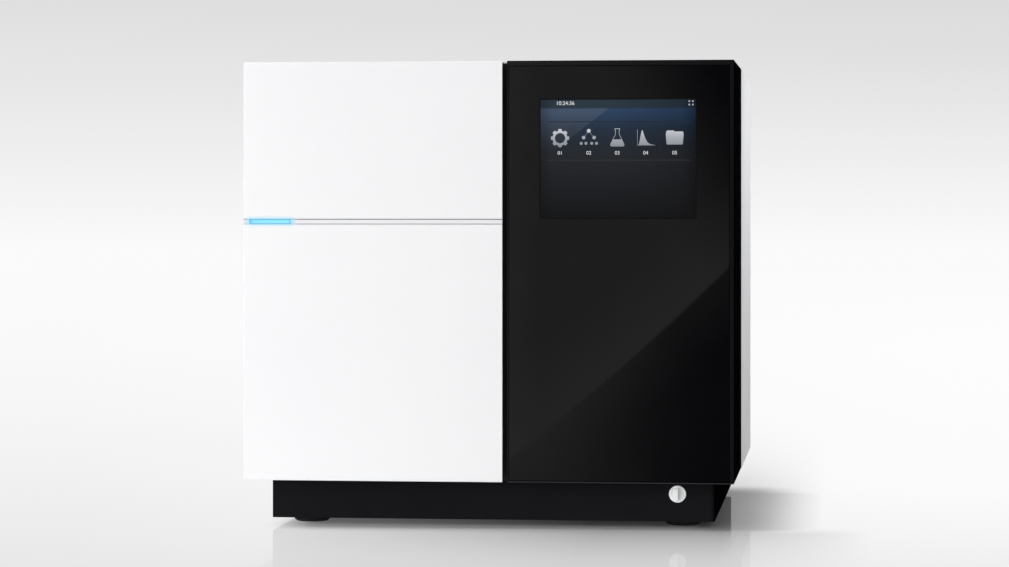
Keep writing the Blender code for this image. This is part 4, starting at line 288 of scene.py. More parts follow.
along_edge = add("MapRange", [over, 0.0, 0.03, 0.09, 0.0])
left_end = add("MapRange", [aside, -0.11, -0.099, 0.07, 0.0])
extra = add("Math", [along_edge, left_end], "ADD")
high_sum = add("Math", [high_tone, extra], "ADD")
below_edge = add("MapRange", [over, -0.022, 0.0, 0.0, 0.07])
low_sum = add("Math", [low_tone, below_edge], "ADD")
ahead_tone = add("Mix", [shade, low_sum, high_sum])
left_wall = add("MapRange", [x, -0.75, -0.2, 0.65, 0.0], "SMOOTHSTEP")
ceiling = add("MapRange", [z, 0.25, 0.8, 0.0, 0.45], "SMOOTHSTEP")
behind = add("MapRange", [y, -0.1, 0.6, 0.0, 0.6], "SMOOTHSTEP")
walls = add("Math", [left_wall, behind], "MAXIMUM")
walls = add("Math", [walls, ceiling], "ADD")
walls = add("Math", [walls, 0.32], "ADD")
walls = add("Math", [walls, 1.0], "MINIMUM")
lower = add("MapRange", [rise, -0.0895, -0.0875, 1.0, 0.0])
floor_tone = add("MapRange", [aside, -0.065, -0.045, 1.0, 0.42], "SMOOTHSTEP")
ahead_tone = add("Mix", [lower, ahead_tone, floor_tone])
straight = add("MapRange", [ahead, 0.9, 0.97], "SMOOTHSTEP")
mirrored = add("Mix", [straight, walls, ahead_tone])
mirrored_light = add("Background", {"Color": "FFFFFF", "Strength": mirrored})
right_rear = add("VectorMath", [way, (0.8, 0.6, 0.0)], "DOT_PRODUCT")
soft = add("MapRange", [right_rear, -0.1, 0.8, 0.59, 0.05])
frontal = add("VectorMath", [way, (0.0, -1.0, 0.0)], "DOT_PRODUCT")
low_front = add("MapRange", [frontal, 0.9, 1.0, 0.0, 4.9])
soft = add("Math", [soft, low_front], "ADD")
soft_light = add("Background", {"Color": "FDFDFE", "Strength": soft})
wall_height = add("MapRange", [z, 0.0672, -0.03])
side_walls = []
for low_tone, dim, pale in (("DFDFE0", "E5E5E6", "EBEBEC"), ("DBDBDC", "E1E1E2", "E9E9EA")):
    tones = [(0.0, low_tone), (0.204, dim), (0.388, pale), (0.647, "F4F4F5"), (0.81, "FAFAFB")]
    side_walls.append(add("ValToRGB", [wall_height], stops=tones))
rightward = add("MapRange", [x, -0.242, 0.03])
wall_tone = add("Mix", [rightward, *side_walls], "RGBA")
pale_light = add("Background", {"Color": wall_tone, "Strength": 1.0})
path = add("LightPath")
open_view = add("Math", [path.outputs["Is Camera Ray"], path.outputs["Is Transmission Ray"]], "MAXIMUM")
lit = add("MixShader", [path.outputs["Is Glossy Ray"], soft_light, mirrored_light])
lit = add("MixShader", [open_view, lit, pale_light])
add("OutputWorld", [lit])


# Plinth and feet
# A sheet steel skirt on a floor plate, powder coated black with a fine texture. Four turned rubber feet sit
# under it, each held by a zinc plated screw through its middle.
def dress(material, *names):
    """Gives CAD nodes a finish in every slot."""
    for name in names:
        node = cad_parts[name]
        if not node.material_slots:
            node.data.materials.append(material)
        for slot in node.material_slots:
            slot.material = material


def middle_of(low, high):
    """The middle of a box: half the sum of its two corners."""
    return [(a + b) / 2 for a, b in zip(low, high)]


def mottled(name, patch, dark, light, rough, relief=None, more=None, detail=2.0, places=(0.3, 0.7)):
    """A material whose colour drifts between two tones by patches of the given size. relief is the size,
    detail, strength and depth of a fine grain, and more has other inputs of the surface by name."""
    material, add, place = start_material(name)
    patches = add("TexNoise", {"Vector": place, "Scale": 1 / patch, "Detail": detail})
    tint = add("ValToRGB", [patches], stops=[(places[0], dark), (places[1], light)])
    inputs = {"Base Color": tint, "Roughness": rough, **(more or {})}
    if relief:
        size, fineness, strength, depth = relief
        grain = add("TexNoise", {"Vector": place, "Scale": 1 / size, "Detail": fineness})
        inputs["Normal"] = add("Bump", {"Strength": strength, "Distance": depth, "Height": grain})
    surface = add("BsdfPrincipled", inputs)
    add("OutputMaterial", [surface])
    return material


def powder_coat(name, colour, worn, rough, dull=0.5, painted_flank_shade=None):
    """Powder coat on sheet steel: one colour that drifts a little to another over a hand's breadth, a gloss
    that varies by patches, and an orange peel of 1.6 mm, twice the real one so that it shows. Walls that face
    left or right may take a darker colour of their own, a painted shade."""
    material, add, place = start_material(name)
    patches = add("TexNoise", {"Vector": place, "Scale": 1 / 0.09})
    tint = add("Mix", [patches, colour, worn], "RGBA")
    if painted_flank_shade:
        shape = add("NewGeometry")
        facing = add("VectorMath", [shape.outputs["Normal"]], "ABSOLUTE")
        facing = add("SeparateXYZ", [facing])
        tint = add("Mix", [facing.outputs["X"], tint, painted_flank_shade], "RGBA")
    sheen = add("MapRange", [patches, 0.3, 0.7, rough - 0.04, rough + 0.05])
    peel = add("TexNoise", {"Vector": place, "Scale": 1 / 0.0016, "Detail": 1.0})
    relief = add("Bump", {"Strength": 0.25, "Distance": 0.00005, "Height": peel})
    surface = add("BsdfPrincipled", {
        "Base Color": tint, "Roughness": sheen, "Specular IOR Level": dull, "Normal": relief,
    })
    add("OutputMaterial", [surface])
    return material


# The plinth's walls that face left or right are drawn near black, a painted shade of the overhang above them.
black_powder = powder_coat("black_powder_coat", "1A1A1C", "202022", 0.7, 0.0, "09090A")
dress(black_powder, "plinth_skirt", "plinth_floor")

# Nitrile rubber: near black and dull, with a fine moulding grain and a grey bloom in patches.
grain = (0.0006, 2.0, 0.4, 0.00006)
rubber = mottled(
    "moulded_nitrile_rubber", patch=0.012, dark="17171A", light="26262A", rough=0.82, relief=grain,
    detail=4.0, places=(0.35, 0.75),
)
dress(rubber, "foot_front_left", "foot_front_right", "foot_rear_left", "foot_rear_right", "door_seal")

# Zinc plated steel: a cool grey metal with faint crystal patches of 9 mm and a soft rolling grain.
zinc, add, place = start_material("zinc_plated_steel")
spangle = add("TexVoronoi", {"Vector": place, "Scale": 1 / 0.009})
tint = add("ValToRGB", [spangle.outputs["Color"]], stops=[(0.0, "B6B9BC"), (1.0, "C2C5C8")])
sheen = add("MapRange", [spangle.outputs["Color"], 0.0, 1.0, 0.33, 0.39])
stretched = add("Mapping", {"Vector": place, "Scale": (60.0, 60.0, 1800.0)})
rolling = add("TexNoise", {"Vector": stretched, "Scale": 1.0})
relief = add("Bump", {"Strength": 0.15, "Distance": 0.00003, "Height": rolling})
surface = add("BsdfPrincipled", {"Base Color": tint, "Metallic": 1.0, "Roughness": sheen, "Normal": relief})
add("OutputMaterial", [surface])


def turned(profile, centre, axis, steps=24):
    """Rows round an axis: a profile of (radius, height, hexagon share), each turned once round. The share
    blends the circle towards a hexagon, whose radius grows as one over the cosine of the angle from its
    nearest flat."""
    profile = np.array([row if len(row) == 3 else (*row, 0.0) for row in profile])
    angle = np.arange(steps) * math.tau / steps
    flat = math.cos(math.pi / 6) / np.cos((angle % (math.pi / 3)) - math.pi / 6)
    spread = profile[:, 0:1] * (1 + profile[:, 2:3] * (flat[None, :] - 1))
    axis = Vector(axis).normalized()
    first = axis.orthogonal().normalized()
    second = axis.cross(first)
    ring = np.cos(angle)[:, None] * np.array(first) + np.sin(angle)[:, None] * np.array(second)
    return spread[..., None] * ring[None] + profile[:, 1][:, None, None] * np.array(axis) + np.array(centre)


def socket_screw(centre, axis, radius, head):
    """A round headed screw with a hexagon recess: from the recess's floor out over the crown to the rim."""
    recess = radius * 0.5
    profile = [
        (0, head * 0.35), (recess, head * 0.35, 1.0), (recess, head * 0.98, 1.0), (radius * 0.62, head),
        (radius * 0.85, head * 0.8), (radius, head * 0.35), (radius, 0), (0, 0),
    ]
    return turned(profile, centre, axis), False


def face_screws(places, depth, way, radius, head):
    """Screws on an upright face at that depth, at places across and up. way is their heads' sense along y."""
    return [socket_screw((x, depth, z), (0, way, 0), radius, head) for x, z in places]


foot_screws = []
for name in ("foot_front_left", "foot_front_right", "foot_rear_left", "foot_rear_right"):
    x, y, _ = middle_of(*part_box(name))
    foot_screws.append(socket_screw((x, y, 0.004), (0, 0, -1), radius=0.0042, head=0.0022))
solid("foot_screws", foot_screws, zinc, "cabinet")


# Push button
# A turned bezel with a pearl chrome rim, and a stainless cap that moves in it. The cap was faced on a lathe;
# the split of brightness along a line that such a face shows is painted into its colour, a painted
# reflection.
# Both glow weakly, a painted reflection in place of the bright studio panel that such metal mirrors.
chrome, add, place = start_material("pearl_chrome")
haze = add("TexNoise", {"Vector": place, "Scale": 1 / 0.004, "Detail": 3.0})
sheen = add("MapRange", [haze, 0.3, 0.7, 0.24, 0.34])
surface = add("BsdfPrincipled", {
    "Base Color": "FEFEFE", "Metallic": 0.15, "Roughness": sheen, "Emission Color": "FFFFFF",
    "Emission Strength": 0.17,
})
add("OutputMaterial", [surface])
dress(chrome, "power_button_bezel")

cap_middle = middle_of(*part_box("power_button_cap"))
faced, add, place = start_material("lathe_faced_stainless_steel")
centred = add("Mapping", {"Vector": place, "Location": [-v for v in cap_middle]})
x = add("SeparateXYZ", [centred]).outputs["X"]
# Painted reflection: the right half is drawn grey, darkest next to the split, and the rim light grey.
painted_reflection_half = add("MapRange", [x, 0.0, 0.0008])
fan_out = add("MapRange", [x, 0.0008, 0.006, 1.0, 0.3])
darker = add("Math", [painted_reflection_half, fan_out], "MULTIPLY")
tint = add("Mix", [darker, "FDFEFD", "A3A9AB"], "RGBA")
to_rim = add("VectorMath", [centred, (1.0, 0.0, 1.0)], "MULTIPLY")
to_rim = add("VectorMath", [to_rim], "LENGTH")
at_rim = add("MapRange", [to_rim, 0.0046, 0.0064, 0.0, 0.55])
tint = add("Mix", [at_rim, tint, "E6E8E8"], "RGBA")
rings = add(
    "TexWave",
    {"Vector": centred, "Scale": 1 / 0.0025, "Distortion": 0.2},
    wave_type="RINGS",
    rings_direction="Y",
)
relief = add("Bump", {"Strength": 0.2, "Distance": 0.00002, "Height": rings.outputs["Fac"]})
surface = add("BsdfPrincipled", {
    "Base Color": tint, "Metallic": 0.15, "Roughness": 0.36, "Normal": relief, "Emission Color": tint,
    "Emission Strength": 0.17,
})
add("OutputMaterial", [surface])
dress(faced, "power_button_cap")


# Chassis and compartment walls
# The floor of the chassis is bare zinc plated sheet. Partition, back wall and outer covers are sheet steel
# with a smooth white powder coat; the rear panel is the same steel in light grey.
white_powder = powder_coat("white_powder_coat", "F3F4F5", "EEEFF1", 0.42, 0.45)
grey_powder = powder_coat("light_grey_powder_coat", "C9CCCE", "C2C5C8", 0.48)
dress(zinc, "chassis_floor", "display_module", "power_supply", "magnet_catch", "door_strike")
dress(white_powder, "partition", "compartment_back_wall", "left_side_cover", "right_side_cover", "top_cover")
dress(white_powder, "door_liner")
dress(grey_powder, "rear_panel")

# Screws along the rear panel's edges, clear of its cut-outs.
low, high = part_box("rear_panel")
edge = 0.01
places = []
for share in (0.0, 0.25, 0.5, 0.75, 1.0):
    x = low[0] + edge + share * (high[0] - low[0] - 2 * edge)
    places += [(x, low[2] + edge), (x, high[2] - edge)]
for share in (0.25, 0.5, 0.75):
    z = low[2] + edge + share * (high[2] - low[2] - 2 * edge)
    places += [(low[0] + edge, z), (high[0] - edge, z)]
solid("rear_panel_screws", face_screws(places, high[1], 1, radius=0.0036, head=0.002), zinc, "cabinet")

# Screws that hold the compartment's back wall and the door's liner, seen when the door is open.
low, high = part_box("compartment_back_wall")
places = [(x, z) for x in (low[0] + edge, high[0] - edge) for z in (low[2] + edge, high[2] - edge)]
solid("back_wall_screws", face_screws(places, low[1], -1, radius=0.0032, head=0.0018), zinc, "cabinet")
low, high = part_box("door_liner")
liner_edge = 0.007
levels = (low[2] + liner_edge, (low[2] + high[2]) / 2, high[2] - liner_edge)
places = [(x, z) for x in (low[0] + liner_edge, high[0] - liner_edge) for z in levels]
solid("liner_screws", face_screws(places, high[1], 1, radius=0.0026, head=0.0014), zinc, "door")


# Compartment frame, hinges and door frame
# The frame round the compartment's mouth and the frame behind the door's plate are moulded in black ABS, with
# a fine spark-eroded texture. Hinge brackets are bent stainless sheet.
texture, satin_gloss = (0.0009, 2.0, 0.3, 0.00005), {"Specular IOR Level": 0.35}
abs_black = mottled(
    "moulded_black_abs", patch=0.06, dark="121214", light="18181B", rough=0.5, relief=texture,
    more=satin_gloss,
)
dress(abs_black, "compartment_frame", "door_frame", "fan_frame", "fan_rotor", "mains_inlet", "fuse_drawer")
dress(abs_black, "rocker_switch")


def drawn(name, stretch, dark, light, smooth, coarse, relief=None, detail=2.0, more=None):
    """Metal or glass that was drawn, brushed or turned: noise stretched along the strokes sets its tone, its
    gloss from smooth to coarse, and its relief (strength and depth). more has other inputs by name."""
    material, add, place = start_material(name)
    stretched = add("Mapping", {"Vector": place, "Scale": stretch})
    strokes = add("TexNoise", {"Vector": stretched, "Scale": 1.0, "Detail": detail})
    tint = add("ValToRGB", [strokes], stops=[(0.3, dark), (0.7, light)])
    sheen = add("MapRange", [strokes, 0.3, 0.7, smooth, coarse])
    inputs = {"Base Color": tint, "Metallic": 1.0, "Roughness": sheen, **(more or {})}
    if relief:
        inputs["Normal"] = add("Bump", {"Strength": relief[0], "Distance": relief[1], "Height": strokes})
    surface = add("BsdfPrincipled", inputs)
    add("OutputMaterial", [surface])
    return material


upward, fine = (1500.0, 1500.0, 50.0), (0.04, 0.00002)
stainless = drawn("brushed_stainless_steel", upward, "C1C3C4", "CACBCC", 0.29, 0.33, fine, detail=3.0)
dress(stainless, "hinge_bracket_upper", "hinge_bracket_lower", "injection_head", "septum_nut", "tube_clamp")
dress(stainless, "dryer_bracket", "gas_control_block")


# Door
# A flat plate lacquered glossy white, with a groove across it. A white strip lies in the groove, and its left
# end is a lens lit cyan from behind; its light on the lacquer round it is a painted cyan glow. Both joints of
# the strip are grey, with painted shade and painted lens light on them, and the plate's right edge carries a
# painted highlight.
lens_low, lens_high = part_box("status_light_lens")
lens_middle = middle_of(lens_low, lens_high)
half_length = (lens_high[0] - lens_low[0]) / 2
half_height = (lens_high[2] - lens_low[2]) / 2
lacquer, add, place = start_material("glossy_white_lacquer")
centred = add("Mapping", {"Vector": place, "Location": [-v for v in lens_middle]})
x, _, z = add("SeparateXYZ", [centred]).outputs
side = add("Math", [x], "ABSOLUTE")
side = add("Math", [side, half_length], "SUBTRACT")
side = add("Math", [side, 0.0], "MAXIMUM")
flat = add("CombineXYZ", {"X": side, "Z": z})
reach = add("VectorMath", [flat], "LENGTH")
# Painted light of the lens: a cyan tint, full within 2 mm of it and gone at 7 mm.
painted_cyan_glow = add("MapRange", [reach, 0.002, 0.007, 0.8, 0.0], "SMOOTHSTEP")
on_lens = add("MapRange", [side, 0.0, 0.0008, 1.0, 0.0])
near_lens = add("MapRange", [side, 0.0, 0.009, 1.0, 0.0])
level = add("Math", [z], "ABSOLUTE")
in_strip = add("Math", [level, half_height], "LESS_THAN")
wide = add("TexNoise", {"Vector": place, "Scale": 1 / 0.25, "Detail": 1.0})
white = add("Mix", [wide, "F6F6F6", "F2F2F3"], "RGBA")
whole = add("SeparateXYZ", [place])
# The plate's right edge is drawn pure white, a painted highlight.
painted_edge_highlight = add("MapRange", [whole.outputs["X"], 0.0146, 0.0152])
white = add("Mix", [painted_edge_highlight, white, "FFFFFF"], "RGBA")
white = add("Mix", [in_strip, white, "EEEEF0"], "RGBA")
tint = add("Mix", [painted_cyan_glow, white, "B9EAFE"], "RGBA")
# The joints: grey lines, the upper one darker, partly the joint itself and partly painted groove shade; near
# the lens they are drawn pale blue and along it blue, its light painted onto them.
for height, grey, blue in (
    (half_height - 0.0003, "8D8E92", "6FB4D6"), (-half_height - 0.0005, "ACADB1", "93CBE8")
):
    from_line = add("Math", [z, height], "SUBTRACT")
    from_line = add("Math", [from_line], "ABSOLUTE")
    line = add("MapRange", [from_line, 0.0002, 0.0006, 1.0, 0.0])
    tone = add("Mix", [near_lens, grey, "D3E6F0"], "RGBA")
    tone = add("Mix", [on_lens, tone, blue], "RGBA")
    tint = add("Mix", [line, tint, tone], "RGBA")
wave = add("TexNoise", {"Vector": place, "Scale": 1 / 0.02, "Detail": 1.0})
relief = add("Bump", {"Strength": 0.05, "Distance": 0.0001, "Height": wave})
surface = add("BsdfPrincipled", {"Base Color": tint, "Roughness": 0.12, "IOR": 1.5, "Normal": relief})
add("OutputMaterial", [surface])
dress(lacquer, "door_front_plate", "door_trim_strip")

# Opal acrylic lens: lit from behind, pale cyan in the middle, bluer at the left and deep blue along its top.
lens, add, place = start_material("lit_opal_acrylic")
centred = add("Mapping", {"Vector": place, "Location": [-v for v in lens_middle]})
x, _, z = add("SeparateXYZ", [centred]).outputs
side = add("Math", [x], "ABSOLUTE")
end = add("MapRange", [side, half_length - 0.0022, half_length, 0.0, 0.8])
level = add("MapRange", [z, -half_height, half_height])
tint = add("ValToRGB", [level], stops=[
    (0.0, "8FC6EE"), (0.2, "95E4F9"), (0.5, "8FF1FB"), (0.78, "8BE6F8"), (1.0, "4E9CC9"),
])
blue_end = add("MapRange", [x, -half_length * 0.4, -half_length, 0.0, 0.5])
tint = add("Mix", [blue_end, tint, "7ACBF6"], "RGBA")
tint = add("Mix", [end, tint, "62B2DE"], "RGBA")
surface = add("BsdfPrincipled", {
    "Base Color": "20444E", "Roughness": 0.3, "Emission Color": tint, "Emission Strength": 0.95,
})
add("OutputMaterial", [surface])
dress(lens, "status_light_lens")


# Front housing and glass
# A bent sheet housing in black satin lacquer wraps the right front corner. Its front is one sheet of glass, 4
# mm thick and printed black behind, with polished edges and a window for the touch screen.
satin, add, place = start_material("black_satin_lacquer")
patches = add("TexNoise", {"Vector": place, "Scale": 1 / 0.12})
tint = add("ValToRGB", [patches], stops=[(0.3, "08080A"), (0.7, "0C0C0E")])
x, _, z = add("SeparateXYZ", [place]).outputs
# The lowest millimetre of the housing is drawn grey, a painted highlight along its bottom edge.
painted_foot_highlight = add("MapRange", [z, 0.051, 0.0508])
# Faces that look forward are drawn lighter on the left and darker to the right, a painted reflection.
shape = add("NewGeometry")
facing = add("SeparateXYZ", [shape.outputs["Normal"]])
frontal = add("MapRange", [facing.outputs["Y"], -0.85, -0.99])
across = add("MapRange", [x, 0.0, 0.25])
painted_front_reflection = add("ValToRGB", [across], stops=[(0.0, "232325"), (0.5, "1D1D1F"), (1.0, "161618")])
tint = add("Mix", [frontal, tint, painted_front_reflection], "RGBA")
painted_highlight_tint = add("Mix", [painted_foot_highlight, tint, "3E3E41"], "RGBA")
peel = add("TexNoise", {"Vector": place, "Scale": 1 / 0.0014, "Detail": 1.0})
relief = add("Bump", {"Strength": 0.2, "Distance": 0.00004, "Height": peel})
surface = add("BsdfPrincipled", {
    "Base Color": painted_highlight_tint, "Roughness": 0.8, "Specular IOR Level": 0.0, "Normal": relief,
})
add("OutputMaterial", [surface])
dress(satin, "front_housing", "detector_module")

glass = mottled("back_printed_black_glass", 0.05, "08080A", "0A0A0C", rough=0.01, more={"IOR": 1.5})
dress(glass, "glass_front_panel")


# Touch screen
# A liquid crystal panel bonded behind the glass. Its page has a slate bar on top, a blue field that fades
# down to black, and a band of five pictograms, drawn as thin lit plates that stand on the panel.
screen_low, screen_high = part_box("touch_screen")
screen_left, screen_top, screen_face = screen_low[0], screen_high[2], screen_low[1]
screen_width = screen_high[0] - screen_left
screen_height = screen_top - screen_low[2]
bar_foot = 0.929
panel, add, place = start_material("lit_display_panel")
scaled = add("Mapping", {
    "Vector": place,
    "Location": (-screen_left / screen_width, 0.0, -screen_low[2] / screen_height),
    "Scale": (1 / screen_width, 1.0, 1 / screen_height),
})
x, _, z = add("SeparateXYZ", [scaled]).outputs
field = add("ValToRGB", [z], stops=[
    (0.0, "050608"), (0.25, "15161A"), (0.47, "1E2024"), (0.495, "202226"), (0.62, "1E252E"),
    (0.76, "202D3E"), (0.83, "233750"), (0.918, "2A405E"),
])
bar = add("Math", [z, bar_foot], "GREATER_THAN")
page = add("Mix", [bar, field, "26333F"], "RGBA")
lean = add("Math", [x, 1.02, -1.3], "MULTIPLY_ADD")
lean = add("Math", [z, lean], "SUBTRACT")
shine = add("MapRange", [lean, 1.768, 1.78])
fading = add("MapRange", [z, 0.55, 0.9, 0.0, 0.16])
shine = add("Math", [shine, fading], "MULTIPLY")
under = add("Math", [z, bar_foot], "LESS_THAN")
shine = add("Math", [shine, under], "MULTIPLY")
page = add("Mix", [shine, page, "7C838C"], "RGBA")
centre = add("Math", [x, 0.5], "SUBTRACT")
centre = add("Math", [centre], "ABSOLUTE")
fade = add("MapRange", [centre, 0.4, 0.5, 1.0, 0.6], "SMOOTHSTEP")
right_dim = add("MapRange", [x, 0.45, 1.0, 1.0, 0.62])
fade = add("Math", [fade, right_dim], "MULTIPLY")
surface = add("BsdfPrincipled", {
    "Base Color": "030304", "Roughness": 0.03, "Specular IOR Level": 0.33, "Emission Color": page,
    "Emission Strength": fade,
})
add("OutputMaterial", [surface])
dress(panel, "touch_screen")

# A bead of black silicone seals the joint between panel and glass, flat topped and slightly proud.
ripple, faint_gloss = (0.003, 2.0, 0.2, 0.00005), {"Specular IOR Level": 0.1}
silicone = mottled(
    "black_silicone", patch=0.003, dark="070708", light="0B0B0C", rough=0.7, relief=ripple, more=faint_gloss
)


def screen_outline(reach, depth):
    """The panel's four corners moved outwards by reach, at a depth along y."""
    left, right = screen_left - reach, screen_high[0] + reach
    bottom, top = screen_low[2] - reach, screen_top + reach
    return np.array([(x, depth, z) for x, z in ((left, bottom), (right, bottom), (right, top), (left, top))])


bead_out, bead_in, bead_rise, bead_root = 0.0008, 0.0006, 0.00015, 0.0002
bead = [
    screen_outline(bead_out, screen_face + bead_root),
    screen_outline(bead_out - bead_rise, screen_face - bead_rise),
    screen_outline(bead_rise - bead_in, screen_face - bead_rise),
    screen_outline(-bead_in, screen_face + bead_root),
]
solid("screen_seal", [(np.stack(bead), True)], silicone, "cabinet")

# Lit pixels of the pictograms: silver that darkens downwards over their 20 mm, as a printed gradient would.
pictogram_light, add, place = start_material("lit_silver_pixels")
z = add("SeparateXYZ", [place]).outputs["Z"]
icon_level = screen_top - 0.04
down = add("MapRange", [z, icon_level + 0.01, icon_level - 0.01])
silver = add("ValToRGB", [down], stops=[(0.0, "CACDD1"), (0.5, "A0A4AB"), (1.0, "80858D")])
surface = add("BsdfPrincipled", {
    "Base Color": "101112", "Roughness": 0.4, "Emission Color": silver, "Emission Strength": 1.0,
})
add("OutputMaterial", [surface])

# Thickness of a pictogram's plates, of which a third is sunk into the panel.
PLATE = 0.0001


def on_screen(points):
    """Points in millimetres from the page's top left corner, as x and z on the panel's face."""
    points = np.asarray(points, float)
    return np.stack([screen_left + points[..., 0] / 1000, screen_top - points[..., 1] / 1000], axis=-1)


def slab(one_edge, other_edge):
    """A thin plate between two edge lines of equal count: each row crosses from one edge to the other in
    front, then back behind."""
    one, other = on_screen(one_edge), on_screen(other_edge)
    front, back = screen_face - PLATE, screen_face + PLATE / 2
    corners = [(one, front), (other, front), (other, back), (one, back)]
    return np.stack([np.stack([p[:, 0], np.full(len(p), y), p[:, 1]], axis=-1) for p, y in corners], axis=1)


def stroke(path, width, closed=False):
    """A plate of even width along a path: each point is moved half the width to both sides of the path."""
    path = np.asarray(path, float)
    if closed:
        ahead = np.roll(path, -1, axis=0) - np.roll(path, 1, axis=0)
    else:
        ahead = np.gradient(path, axis=0)
    ahead /= np.linalg.norm(ahead, axis=1, keepdims=True)
    aside = np.stack([-ahead[:, 1], ahead[:, 0]], axis=-1) * width / 2
    return slab(path + aside, path - aside), closed


def dot(middle, radius):
    """A round plate: a turned profile from its middle out and round the back."""
    x, z = on_screen(middle)
    profile = [(0, PLATE), (radius / 1000, PLATE), (radius / 1000, -PLATE / 2), (0, -PLATE / 2)]
    return turned(profile, (x, screen_face, z), (0, -1, 0), 20), False


# The settings wheel: a plate between a round hole and eight teeth, a cosine pushed towards a square wave.
angle = np.arange(256)[:, None] * math.tau / 256
way = np.hstack([np.cos(angle), np.sin(angle)])
teeth = 8.55 + 0.85 * np.tanh(7 * (np.cos(8 * angle) + 0.15))
wheel_middle, wheel_hole = (20.6, 40.0), 5.3
wheel = slab(wheel_middle + way * wheel_hole, wheel_middle + way * teeth)
solid("screen_wheel", [(wheel, True)], pictogram_light, "cabinet")

# The tree of steps: one, two and four dots with fine branches from the top one.
dots = [(50.3, 32.6, 2.0), (45.0, 39.5, 1.8), (55.8, 39.5, 1.8)]
dots += [(x, 45.4, 1.55) for x in (42.5, 47.4, 53.3, 58.2)]
branches = [stroke([(50.3, 32.6), (45.0, 39.5)], 0.2), stroke([(50.3, 32.6), (55.8, 39.5)], 0.2)]
solid("screen_tree", [dot((x, y), r) for x, y, r in dots] + branches, pictogram_light, "cabinet")

# The flask: an outline that runs down the neck, out along the cone and round the foot, half filled.
down_line = np.array(
    [(2.7, 30.4), (2.7, 30.9), (1.9, 31.5), (1.9, 36.0), (7.0, 46.4), (7.0, 47.8), (6.0, 48.5)]
)
left = down_line * (-1, 1) + (79.7, 0)
right = down_line * (1, 1) + (79.7, 0)
liquid = np.array([(4.5, 41.4), (5.6, 43.7), (6.8, 46.3), (6.8, 47.7), (5.9, 48.4)])
flask = [stroke(np.vstack([left, right[::-1]]), 0.45, closed=True)]
flask += [(slab(liquid * (-1, 1) + (79.7, 0), liquid * (1, 1) + (79.7, 0)), False)]
solid("screen_flask", flask, pictogram_light, "cabinet")

# The peak: a steep rise and an exponential fall, filled down to its base line, with two fine axes.
run = np.linspace(0, 1, 40)
summit = 0.26
rising = np.sin(run / summit * math.pi / 2) ** 2
falling = np.exp(-((np.maximum(run - summit, 0) * 4.6) ** 1.25))
peak = np.where(run < summit, rising, falling)
top_line = np.stack([101.2 + run * 16.5, 47.2 - 15.4 * peak], axis=-1)
base_line = np.stack([101.2 + run * 16.5, np.full(40, 47.3)], axis=-1)
axes = [stroke([(100.4, 31.5), (100.4, 47.4)], 0.3), stroke([(100.2, 47.5), (118.6, 47.5)], 0.3)]
solid("screen_peak", [(slab(top_line, base_line), False)] + axes, pictogram_light, "cabinet")

# The folder: a rounded sheet that narrows a little downwards, with a tab on its left.
turn = np.linspace(0, math.pi / 2, 6)
half = np.concatenate([8.9 - 1.2 * (1 - np.sin(turn)), [9.1, 8.5], 8.4 - 1.2 * (1 - np.cos(turn))])
level = np.concatenate([34.6 - 1.2 * np.cos(turn), [37.5, 44.0], 45.6 + 1.2 * np.sin(turn)])
folder = [(slab(np.stack([138.7 - half, level], -1), np.stack([138.7 + half, level], -1)), False)]
tab = np.array([(130.9, 32.4), (130.3, 33.4), (130.1, 34.6)])
folder += [(slab(tab, np.array([(137.6, 32.4), (138.6, 33.4), (139.3, 34.6)])), False)]
solid("screen_folder", folder, pictogram_light, "cabinet")


def lettered(name, marks, material, body):
    """Plain figures as thin plates. Each mark is its text, size, place, and the directions right and up on
    the face that it stands on; its outline is filled, given the depth, and moved there as a mesh."""
    gathered = bmesh.new()
    for text, size, middle, right, up in marks:
        curve = bpy.data.curves.new(name, "FONT")
        curve.body, curve.size, curve.extrude = text, size, PLATE / 2
        curve.align_x, curve.align_y = "CENTER", "CENTER"
        holder = bpy.data.objects.new(name, curve)
        bpy.context.scene.collection.objects.link(holder)
        bpy.context.view_layer.update()
        flat = bpy.data.meshes.new_from_object(holder.evaluated_get(bpy.context.evaluated_depsgraph_get()))
        right, up = Vector(right).normalized(), Vector(up).normalized()
        out = right.cross(up)
        turn = Matrix((right, up, out)).transposed().to_4x4()
        flat.transform(Matrix.Translation(Vector(middle) + out * PLATE / 4) @ turn)
        gathered.from_mesh(flat)
        bpy.data.objects.remove(holder)
        bpy.data.curves.remove(curve)
        bpy.data.meshes.remove(flat)
    mesh = bpy.data.meshes.new(name)
    gathered.to_mesh(mesh)
    gathered.free()
    return finished(name, mesh, material, body)


def lit_pixels(name, unlit, rough, drift, dark, bright):
    """Lit pixels on a panel of that unlit colour. Their tone drifts between two colours over a distance."""
    material, add, place = start_material(name)
    unrest = add("TexNoise", {"Vector": place, "Scale": 1 / drift})
    tone = add("ValToRGB", [unrest], stops=[(0.3, dark), (0.7, bright)])
    glow = {"Base Color": unlit, "Roughness": rough, "Emission Color": tone, "Emission Strength": 1.0}
    surface = add("BsdfPrincipled", glow)
    add("OutputMaterial", [surface])
    return material


figure_light = lit_pixels("lit_white_pixels", "101112", 0.4, 0.002, "D9DBDE", "ECEEF0")
facing = ((1, 0, 0), (0, 0, 1))
figures = []
for number, x in enumerate((20.6, 50.3, 79.7, 108.9, 138.7), start=1):
    spot = on_screen((x, 55.4))
    figures.append(("0" + str(number), 0.0052, (spot[0], screen_face, spot[1]), *facing))
spot = on_screen((26.0, 4.2))
figures.append(("10:24:36", 0.0056, (spot[0], screen_face, spot[1]), *facing))
lettered("screen_figures", figures, figure_light, "cabinet")

